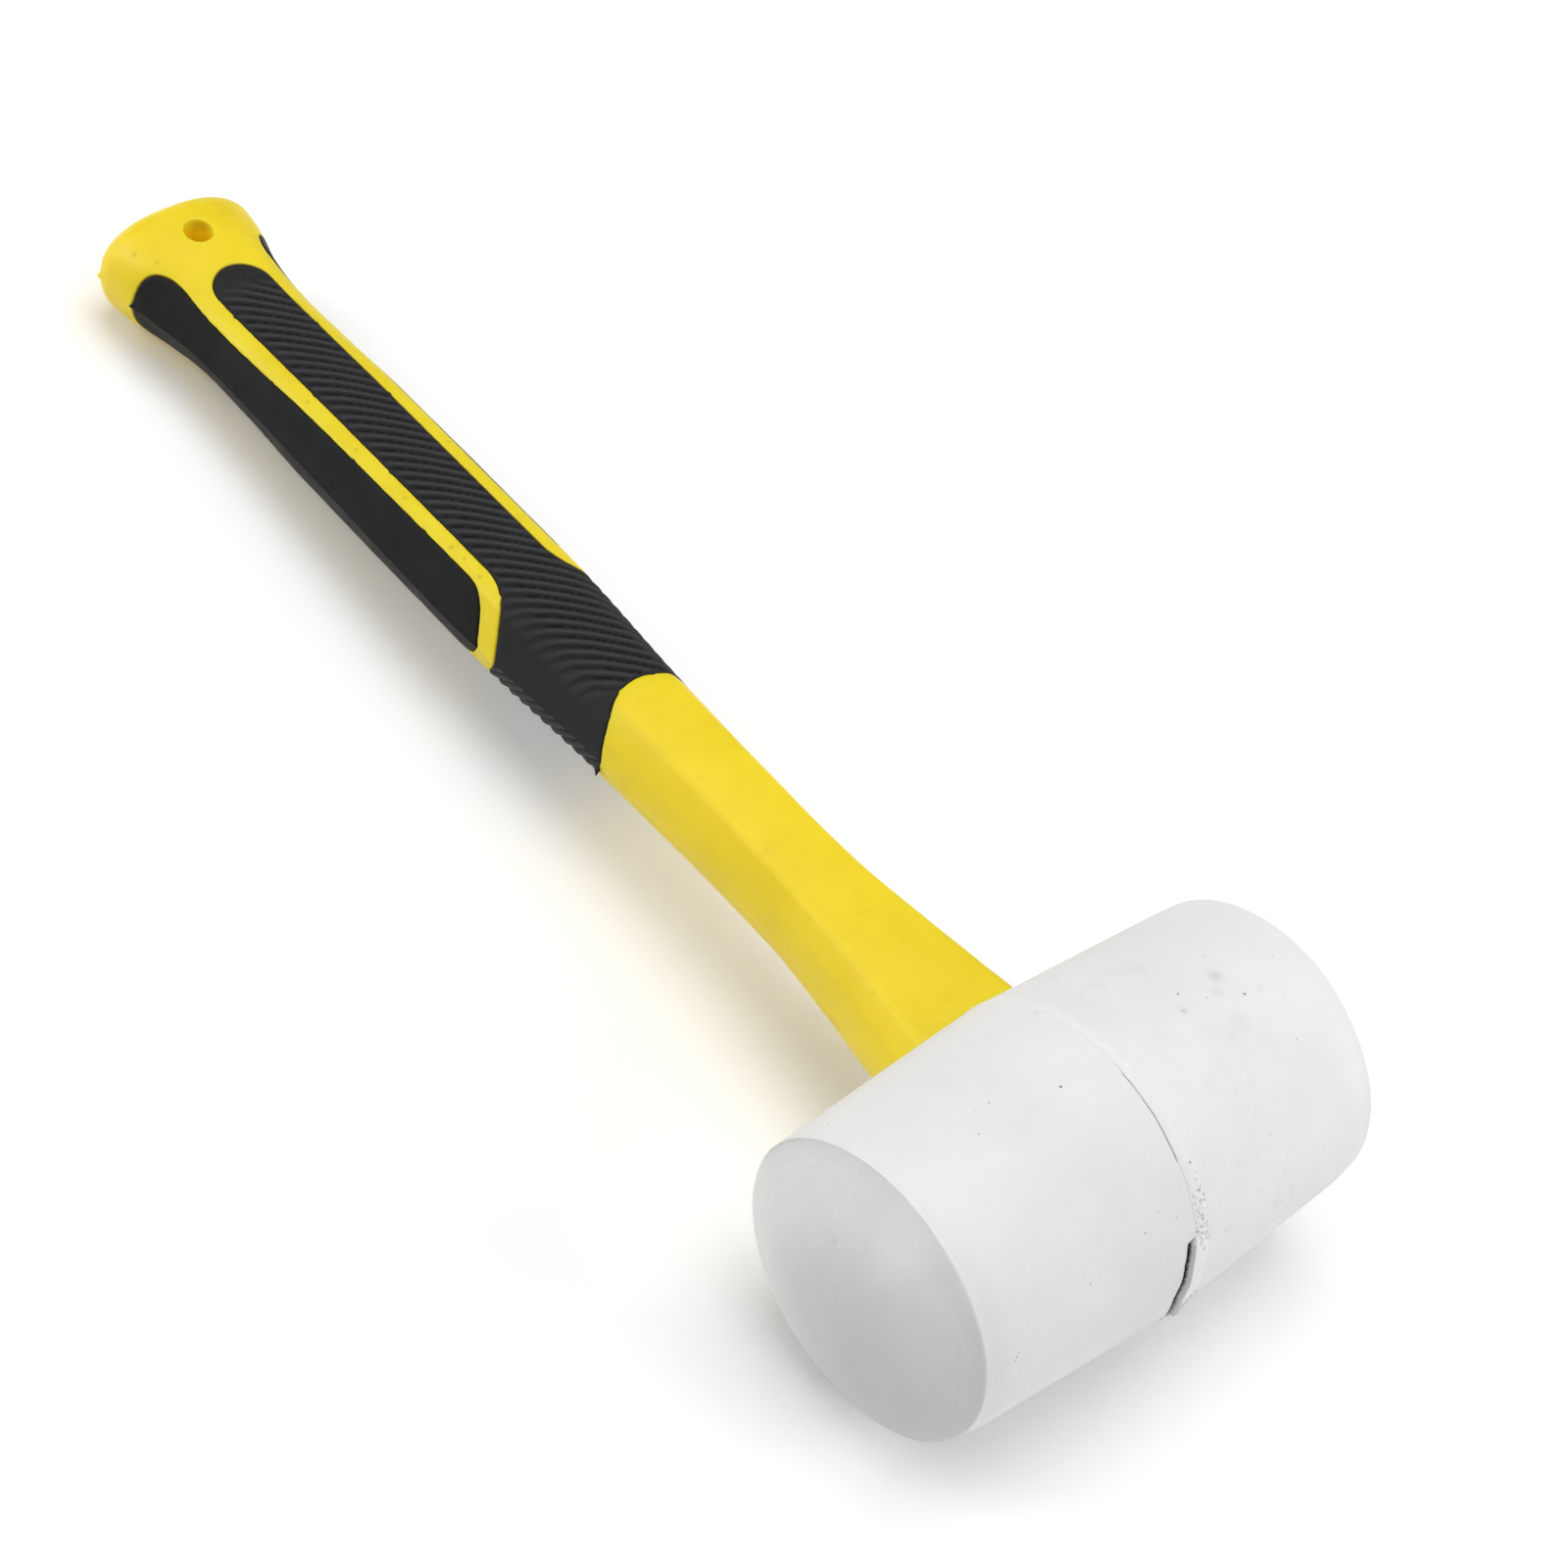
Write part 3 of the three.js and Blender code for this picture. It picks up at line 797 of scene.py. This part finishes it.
def pit_relief(x, degrees):
    """Scattered round pits in the seam's rough stretch, and the painted shade in them."""
    random = np.random.default_rng(7)
    depth = np.zeros_like(x)
    soil = np.zeros_like(x)
    arc = np.radians(degrees) * HEAD_RADIUS
    near = (np.abs(x) < 4) & (degrees > PITTED[0] - 6) & (degrees < PITTED[1] + 6)
    px, pa = x[near], arc[near]
    for _ in range(PIT_COUNT):
        at_x = random.uniform(-0.8, 2.0)
        at_arc = math.radians(random.triangular(PITTED[0], 156.0, PITTED[1])) * HEAD_RADIUS
        size = random.uniform(0.12, 0.24)
        dip = np.exp(-((px - at_x) ** 2 + (pa - at_arc) ** 2) / size ** 2)
        depth[near] += random.uniform(0.08, 0.26) * dip
        # painted shade in each pit, darker in a few
        soil[near] = np.maximum(soil[near], random.choice([0.12, 0.3, 0.6], p=[0.6, 0.3, 0.1]) * dip)
    return depth, soil


# the faces' rims, in degrees round the head: where the near face domes up to its rim, where that
# rim has a fine crisp line, and where both rims are softest
RIM_DOMED, RIM_CRISP, RIM_SOFT = (25.0, 85.0), (20.0, 100.0), (130.0, 205.0)
DOME_RISE, DOME_POWER = 3.9, 2.2
LINE_DEPTH, LINE_HALF = 0.16, 0.13
SOFT_REACH = 2.9


def worn_rim(x, radius, degrees):
    """How far the faces' rims move in x and how far they draw in towards the head's axis."""
    turn = np.mod(degrees + 120, 360) - 120
    start = -HEAD_LENGTH / 2 + ROLL_AXIAL
    domed = -HEAD_LENGTH / 2 + DOME_RISE * (radius / FACE_RADIUS) ** DOME_POWER
    shift = np.where(x < start, np.maximum(domed - x, 0), 0) * band(RIM_DOMED, turn, 35.0)
    corner = np.hypot(np.abs(x) + start, radius - FACE_RADIUS)
    worn = band(RIM_CRISP, turn, 25.0) * (x < 0)
    amount = 0.15 + 0.25 * band(RIM_SOFT, turn, 30.0)
    soft = amount * np.exp(-(corner / SOFT_REACH) ** 2) * (1 - worn)
    line = LINE_DEPTH * np.exp(-((x - start - 0.05) / LINE_HALF) ** 2)
    line = line * (0.7 + 0.5 * waves(14, degrees * 0.4))
    return shift - np.sign(x) * soft, line * worn + soft


FACE_DOME = 1.1
MARK_Y, MARK_Z, MARK_RADIUS, MARK_DEPTH = 6.3, 9.0, 0.6, 0.35


def face_relief(radius, angle, near):
    """How far a striking face is sunk: its dome, faint rings and one face's small mould mark."""
    rings = 0.018 * np.sin(radius * 2.9) + 0.012 * np.sin(radius * 5.3 + 1)
    y, z = radius * np.cos(angle), radius * np.sin(angle)
    mark = np.hypot(y - MARK_Y, z - MARK_Z)
    dimple = np.where(near, MARK_DEPTH * np.exp(-(mark / MARK_RADIUS) ** 2), 0)
    return rings * (radius < FACE_RADIUS - 3) + dimple + FACE_DOME * (radius / FACE_RADIUS) ** 2


def head_surface():
    profile = head_profile()
    angles = head_angles()
    angle = angles * np.ones_like(profile[:, :1])
    x = profile[:, :1] * np.ones_like(angles)
    radius = profile[:, 1:] * np.ones_like(angles)
    degrees = np.degrees(np.mod(angle, 2 * math.pi))
    on_face = np.clip((np.abs(x) - HEAD_LENGTH / 2 + ROLL_AXIAL) / (0.65 * ROLL_AXIAL), 0, 1)
    uneven = 0.06 * waves(9, x * 0.09, angle * 2.0)
    lift, soil, chalk = seam_relief(x, degrees)
    pits, pit_painted_shade = pit_relief(x, degrees)
    rim_shift, rim_line = worn_rim(x, radius, degrees)
    x = x - np.sign(x) * on_face * face_relief(radius, angle, x < 0) + rim_shift
    radius = radius + lift - pits - rim_line + (1 - on_face) * uneven
    points = np.stack([x, radius * np.cos(angle), radius * np.sin(angle)], -1)
    ends = np.array([[-HEAD_LENGTH / 2, 0, 0], [HEAD_LENGTH / 2, 0, 0]])
    return Surface(
        np.vstack([points.reshape(-1, 3), ends]), capped_grid_faces(*points.shape[:2]),
        normal=np.vstack([grid_normals(points).reshape(-1, 3), np.sign(ends)]),
        # painted shade in the seam's splits, its gap and its pits
        soil=np.append(np.maximum(soil, pit_painted_shade), [0, 0]),
        chalk=np.append(chalk, [0, 0]),
    )


EYE_Y = 29.4
EYE_GAP = 0.16
EYE_LIP = 0.5
SOCKET_RINGS = (26.0, 20.0, 10.0, 0.0, -8.0, SOCKET_DEPTH)


def eye_outline():
    """The handle's section where it enters the head, as a closed outline in x and z."""
    return whole_section(rounded_quarter(section_at(np.array([EYE_Y]))[0], EYE_Y))


def head():
    skin = head_surface()
    p = skin.points
    near_eye = (p[:, 1] > 20) & (np.abs(p[:, 0]) < 22)
    field = np.full(len(p), -40.0)
    x, z = p[near_eye, 0], p[near_eye, 2]
    field[near_eye] = polygon_distance(eye_outline(), x, z) - EYE_GAP
    field[near_eye] += 0.07 * waves(11, x, z, scale=0.6)
    skin.values["eye"] = -field
    for level in (0.0, 0.2, 0.5):
        skin.split("eye", level)
    front = skin.part(skin.face_mean("eye") > 0)
    v = front.values
    v["eye"] = np.where(np.abs(v["eye"]) < 1e-9, 0, v["eye"])
    front.points = front.points - v["normal"] * lip_drop(v["eye"], EYE_LIP)[:, None]
    return with_socket(front)


def with_socket(front):
    """Adds the blind eye's wall and floor to the head's skin."""
    rim = front.rim()
    corners, index = np.unique(rim, return_inverse=True)
    index = index.reshape(-1, 2)
    mouth = front.points[corners]
    at_mouth = section_at(np.array([EYE_Y]))[0]
    rows = [corners]
    points = [front.points]
    total = len(front.points)
    for y in SOCKET_RINGS:
        here = section_at(np.array([max(y, TENON_END)]))[0]
        scale = np.array([(here[0] + SOCKET_GAP) / at_mouth[0], (here[4] + SOCKET_GAP) / at_mouth[4]])
        ring = np.column_stack([mouth[:, 0] * scale[0], np.full(len(mouth), y), mouth[:, 2] * scale[1]])
        points.append(ring)
        rows.append(np.arange(total, total + len(ring)))
        total += len(ring)
    points.append(np.array([[0, SOCKET_DEPTH, 0]]))
    faces = [front.faces] + wall_faces(rows, index)
    a, b = rows[-1][index[:, 0]], rows[-1][index[:, 1]]
    faces.append(np.stack([b, a, np.full(len(a), total)], -1))
    blank = np.zeros(total + 1 - len(front.points))
    values = {key: np.append(front.values[key], blank) for key in ("soil", "chalk")}
    return Surface(np.vstack(points), np.vstack(faces), **values)


# ------------ materials


class Shader:
    """Short calls for building one material's nodes."""

    def __init__(self, name):
        self.material = bpy.data.materials.new(name)
        self.material.use_nodes = True
        self.tree = self.material.node_tree
        self.surface = self.tree.nodes["Principled BSDF"]
        self.place = self.tree.nodes.new("ShaderNodeTexCoord").outputs["Object"]

    def plug(self, socket, value):
        """Links another node's output to the socket, or gives it a number or a colour."""
        if isinstance(value, bpy.types.NodeSocket):
            self.tree.links.new(value, socket)
        else:
            socket.default_value = (*value, 1) if isinstance(value, tuple) else value

    def set(self, **values):
        for name, value in values.items():
            self.plug(self.surface.inputs[name.replace("_", " ")], value)

    def node(self, kind, **values):
        node = self.tree.nodes.new("ShaderNode" + kind)
        for name, value in values.items():
            node.inputs[name.replace("_", " ")].default_value = value
        return node

    def noise(self, scale, detail=3.0, roughness=0.55, stretch=None):
        node = self.node("TexNoise", Scale=scale, Detail=detail, Roughness=roughness)
        source = self.place
        if stretch:
            mapping = self.node("Mapping", Scale=stretch)
            self.plug(mapping.inputs["Vector"], source)
            source = mapping.outputs["Vector"]
        self.plug(node.inputs["Vector"], source)
        return node.outputs["Fac"]

    def spots(self, scale, size):
        """Small round specks: 1 inside a speck, 0 elsewhere."""
        node = self.node("TexVoronoi", Scale=scale)
        self.plug(node.inputs["Vector"], self.place)
        return self.ramp(node.outputs["Distance"], (size * 0.6, 1), (size, 0))

    def marks(self, spots):
        """Marks at given places in the mallet's own frame: (x, y, z, radius, softness, strength)."""
        total = None
        for x, y, z, radius, softness, strength in spots:
            node = self.node("VectorMath")
            node.operation = "DISTANCE"
            node.inputs[1].default_value = place(np.array([[x, y, z]]))[0]
            self.plug(node.inputs[0], self.place)
            low, high = radius * (1 - softness) * MM, radius * (1 + softness) * MM
            size = self.node("MapRange", From_Min=high, From_Max=low, To_Max=strength)
            self.plug(size.inputs["Value"], node.outputs["Value"])
            spot = size.outputs["Result"]
            total = spot if total is None else self.math("MAXIMUM", total, spot)
        return total

    def attribute(self, name):
        node = self.node("Attribute")
        node.attribute_name = name
        return node.outputs["Fac"]

    def ramp(self, source, *stops):
        node = self.node("ValToRGB")
        elements = node.color_ramp.elements
        while len(elements) < len(stops):
            elements.new(0.5)
        for element, (position, value) in zip(elements, stops):
            element.position = position
            element.color = (value, value, value, 1) if np.isscalar(value) else (*value, 1)
        self.plug(node.inputs["Fac"], source)
        return node.outputs["Color"]

    def math(self, operation, a, b):
        node = self.node("Math")
        node.operation = operation
        for socket, value in zip(node.inputs, (a, b)):
            self.plug(socket, value)
        return node.outputs["Value"]

    def mix(self, factor, a, b):
        """Mixes two colours; the node's colour sockets are its inputs 6 and 7 and its output 2."""
        node = self.node("Mix")
        node.data_type = "RGBA"
        for index, value in ((0, factor), (6, a), (7, b)):
            self.plug(node.inputs[index], value)
        return node.outputs[2]

    def bump(self, height, distance, strength=1.0, after=None):
        node = self.node("Bump", Strength=strength, Distance=distance)
        self.plug(node.inputs["Height"], height)
        if after:
            self.plug(node.inputs["Normal"], after)
        return node.outputs["Normal"]


# smudges and specks on the head, and a grey spot on the near face's mould dimple: x, y, z, radius, softness,
# strength
HEAD_SMUDGES = [
    (27.8, 2.7, 28.35, 1.1, 0.8, 0.3), (25.6, 0.0, 28.6, 0.9, 0.8, 0.16),
    (24.7, -6.3, 27.95, 1.4, 0.9, 0.12), (17.4, 0.25, 29.0, 0.9, 0.8, 0.14),
    (17.4, 0.25, 29.0, 0.4, 0.5, 0.45), (21.8, -7.6, 27.9, 0.8, 0.9, 0.08),
    (-2.0, 14.8, 26.0, 0.7, 0.8, 0.14), (-49.7, 6.3, 9.0, 0.6, 0.5, 0.3),
    (12.0, -12.0, 26.8, 0.9, 0.9, 0.06), (33.0, -3.0, 28.0, 0.6, 0.8, 0.1),
]
# painted shade: a wide soft grey over the near face's lower part
FACE_PAINTED_SHADE = (-90.0, -8.0, -8.0, 44.0, 0.12, 0.46)  # greys the near face's lower part
HEAD_SPECKS = [
    (19.3, 3.4, 28.75, 0.2, 0.3, 0.8), (29.5, -2.7, 28.26, 0.24, 0.3, 0.85),
    (23.0, 0.1, 28.74, 0.14, 0.4, 0.6), (-11.4, 0.3, 29.4, 0.24, 0.3, 0.85),
    (-22.8, 4.9, 28.3, 0.16, 0.4, 0.6), (-25.6, 5.1, 28.1, 0.12, 0.4, 0.5),
    (1.2, -19.7, 22.5, 0.26, 0.3, 0.8), (11.3, -23.2, 18.0, 0.12, 0.4, 0.45),
    (-11.1, -23.7, 17.4, 0.17, 0.3, 0.7), (-40.1, -26.2, 9.2, 0.15, 0.4, 0.7),
    (-39.8, -26.1, 9.7, 0.15, 0.4, 0.7), (-39.4, -25.9, 10.2, 0.13, 0.4, 0.6),
    (-49.3, -18.3, 5.6, 0.2, 0.3, 0.7), (-50.0, 7.4, -6.2, 0.14, 0.4, 0.4),
    (-31.0, -12.0, 25.8, 0.12, 0.4, 0.4), (34.0, 6.0, -27.0, 0.2, 0.3, 0.7),
    (-20.0, 12.0, -26.2, 0.2, 0.3, 0.7), (49.9, -8.0, 4.0, 0.18, 0.3, 0.6),
]


def white_rubber():
    m = Shader("white_rubber")
    clouds = m.noise(38, detail=4, roughness=0.6)
    tone = m.ramp(clouds, (0.35, (0.665, 0.665, 0.66)), (0.65, (0.71, 0.71, 0.705)))
    smudge_area = m.ramp(m.noise(24, detail=2), (0.56, 0), (0.68, 1))
    smudge = m.math("MULTIPLY", smudge_area, m.ramp(m.noise(260), (0.52, 0), (0.62, 1)))
    tone = m.mix(m.math("MULTIPLY", smudge, 0.22), tone, (0.5, 0.5, 0.49))
    # smudges, with the painted shade on the near face's lower part
    tone = m.mix(m.marks([*HEAD_SMUDGES, FACE_PAINTED_SHADE]), tone, (0.28, 0.28, 0.275))
    specks = m.math("MULTIPLY", m.spots(330, 0.075), m.ramp(m.noise(130), (0.57, 0), (0.6, 1)))
    specks = m.math("MAXIMUM", m.math("MULTIPLY", specks, 0.45), m.marks(HEAD_SPECKS))
    tone = m.mix(specks, tone, (0.1, 0.1, 0.1))
    tone = m.mix(m.math("MULTIPLY", m.attribute("chalk"), 0.3), tone, (0.83, 0.83, 0.82))
    # painted shade: the seam's splits, its gap and its pits turn near black
    tone = m.mix(m.attribute("soil"), tone, (0.012, 0.012, 0.012))
    m.set(Base_Color=tone)
    m.set(Roughness=m.ramp(m.noise(160), (0.3, 0.62), (0.7, 0.74)))
    grain = m.bump(m.noise(900, detail=3), 0.0001, 0.5)
    broad = m.bump(m.noise(120, detail=3), 0.0004, 0.35, after=grain)
    m.set(Normal=broad, Specular_IOR_Level=0.3)
    return m.material


# brownish marks on the rails and the butt: x, y, z, radius, softness, strength
HANDLE_STAINS = [
    (-8.4, 205.0, 8.9, 0.45, 0.6, 0.45), (-8.2, 190.0, 9.0, 0.35, 0.6, 0.4),
    (-8.0, 175.0, 9.1, 0.5, 0.7, 0.3), (-8.3, 160.5, 9.1, 0.4, 0.6, 0.45),
    (-8.1, 157.0, 9.2, 0.3, 0.6, 0.5), (-8.4, 152.0, 9.1, 0.45, 0.7, 0.35),
    (-12.7, 255.2, 8.0, 0.4, 0.6, 0.3), (-10.9, 250.7, 8.9, 0.45, 0.6, 0.3),
    (8.2, 212.0, 8.9, 0.4, 0.6, 0.4), (8.4, 183.0, 9.0, 0.35, 0.6, 0.4),
    (-10.0, 41.0, 8.6, 0.4, 0.7, 0.25), (-9.6, 113.5, 6.6, 0.5, 0.6, 0.3),
]
# painted light: the hang hole's wall made bright orange-yellow, as if lit through the plastic
HOLE_PAINTED_LIGHT = (0.0, HOLE_Y, 0.0, 9.2, 0.12, 1.0)  # brightens the hang hole's wall


def yellow_plastic():
    m = Shader("yellow_plastic")
    clouds = m.noise(55, detail=4, roughness=0.6)
    tone = m.ramp(clouds, (0.3, (0.715, 0.545, 0.012)), (0.7, (0.785, 0.605, 0.018)))
    stain = m.math("MULTIPLY", m.ramp(m.noise(150, detail=3), (0.62, 0), (0.72, 1)), 0.28)
    tone = m.mix(stain, tone, (0.62, 0.42, 0.02))
    tone = m.mix(m.marks(HANDLE_STAINS), tone, (0.33, 0.2, 0.02))
    # painted light on the hang hole's wall
    tone = m.mix(m.marks([HOLE_PAINTED_LIGHT]), tone, (1.0, 0.74, 0.014))
    m.set(Base_Color=tone)
    m.set(Roughness=m.ramp(m.noise(220, detail=4), (0.3, 0.36), (0.7, 0.5)))
    grain = m.bump(m.noise(1400, detail=2), 0.00005, 0.35)
    flow = m.bump(m.noise(90, detail=3, stretch=(1, 0.3, 1)), 0.0003, 0.25, after=grain)
    m.set(Normal=flow, Specular_IOR_Level=0.3)
    m.set(Subsurface_Weight=0.35, Subsurface_Scale=0.006)
    m.surface.inputs["Subsurface Radius"].default_value = (1.0, 0.6, 0.1)
    return m.material


def black_grip():
    m = Shader("black_grip")
    tone = m.ramp(m.noise(120, detail=4), (0.3, (0.0085, 0.0085, 0.009)), (0.7, (0.0135, 0.0135, 0.0145)))
    # painted highlight: the rib crests turn towards dark grey
    tone = m.mix(m.math("MULTIPLY", m.attribute("crest"), 0.9), tone, (0.04, 0.04, 0.0425))
    dust = m.math("MULTIPLY", m.spots(420, 0.07), m.ramp(m.noise(200), (0.58, 0), (0.64, 1)))
    tone = m.mix(m.math("MULTIPLY", dust, 0.5), tone, (0.3, 0.3, 0.29))
    m.set(Base_Color=tone)
    m.set(Roughness=m.ramp(m.noise(260, detail=4), (0.3, 0.5), (0.7, 0.62)))
    grain = m.bump(m.noise(1600, detail=3), 0.00008, 0.5)
    m.set(Normal=grain, Specular_IOR_Level=0.12)
    return m.material


def fibreglass():
    m = Shader("fibreglass")
    strands = m.noise(900, detail=4, stretch=(1, 0.03, 1))
    tone = m.ramp(strands, (0.35, (0.55, 0.49, 0.3)), (0.65, (0.74, 0.69, 0.5)))
    m.set(Base_Color=tone)
    m.set(Roughness=m.ramp(strands, (0.3, 0.4), (0.7, 0.55)))
    m.set(Normal=m.bump(strands, 0.0001, 0.4))
    return m.material


# ------------ stage, light and camera


def floor():
    bpy.ops.mesh.primitive_plane_add(size=6)
    plane = bpy.context.object
    plane.name = "floor"
    m = Shader("pale_floor")
    m.set(Base_Color=(0.95, 0.95, 0.95), Roughness=0.9, Specular_IOR_Level=0.1)
    plane.data.materials.append(m.material)


def softbox(name, place_m, aim_m, size, power):
    light = bpy.data.lights.new(name, "AREA")
    light.shape = "SQUARE"
    light.size = size
    light.energy = power
    lamp = new_object(name, light)
    lamp.location = place_m
    lamp.rotation_euler = (Vector(aim_m) - Vector(place_m)).to_track_quat("-Z", "Y").to_euler()


def studio():
    world = bpy.data.worlds.new("studio")
    bpy.context.scene.world = world
    world.use_nodes = True
    background = world.node_tree.nodes["Background"]
    background.inputs["Color"].default_value = (1, 1, 1, 1)
    background.inputs["Strength"].default_value = 0.18
    softbox("overhead", (0.15, 0.1, 1.4), (0, 0, 0), 1.2, 14.3)
    softbox("right", (0.75, -0.95, 0.55), (0, -0.1, 0.03), 0.9, 9.6)
    softbox("left", (-0.75, 0.9, 0.6), (0, 0, 0.02), 0.8, 8.8)
    softbox("high", (-0.9, -0.1, 1.1), (0, 0, 0.02), 0.8, 1.2)
    bpy.context.scene.view_settings.view_transform = "Standard"


CAMERA_AIM = Vector((13.79, 89.26, 0.0))  # in the mallet's own frame, in millimetres
CAMERA_DISTANCE = 641.9
CAMERA_TURN = math.radians(-142.75)
CAMERA_RISE = math.radians(47.21)
CAMERA_ROLL = math.radians(15.92)
CAMERA_LENS, CAMERA_SENSOR = 82.24, 36.0


def camera():
    """Looks down on the mallet from its near striking face, rolled as the view is."""
    back = Vector((math.cos(CAMERA_RISE) * math.cos(CAMERA_TURN),
                   math.cos(CAMERA_RISE) * math.sin(CAMERA_TURN), math.sin(CAMERA_RISE)))
    level = Vector((0, 0, 1)).cross(back).normalized()
    upright = back.cross(level)
    right = level * math.cos(CAMERA_ROLL) + upright * math.sin(CAMERA_ROLL)
    up = back.cross(right)
    turn = Matrix((right, up, back)).transposed().to_4x4()
    data = bpy.data.cameras.new("camera")
    data.lens = CAMERA_LENS
    data.sensor_width = CAMERA_SENSOR
    data.clip_start = 0.01
    view = new_object("camera", data)
    spot = TOOL @ ((CAMERA_AIM + back * CAMERA_DISTANCE) * MM)
    view.matrix_world = Matrix.Translation(spot) @ TOOL.to_3x3().to_4x4() @ turn
    bpy.context.scene.camera = view


# ------------ assembly


def add(name, node, surface, material):
    piece = make_object(name, surface, material)
    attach(piece, "root")
    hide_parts(node)


def build():
    camera()
    studio()
    floor()
    rubber, plastic, soft = white_rubber(), yellow_plastic(), black_grip()
    skin = cut_handle()
    add("grip_ribbed", "ribbed_grip", ribbed_grip(skin), soft)
    add("grip_front", "front_grip_panel", smooth_panel(skin, "front"), soft)
    add("grip_rear", "rear_grip_panel", smooth_panel(skin, "rear"), soft)
    add("jacket", "handle_jacket", jacket(skin), plastic)
    add("head", "rubber_head", head(), rubber)
    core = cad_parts["fibreglass_core"]
    core.data.materials.clear()
    core.data.materials.append(fibreglass())


build()
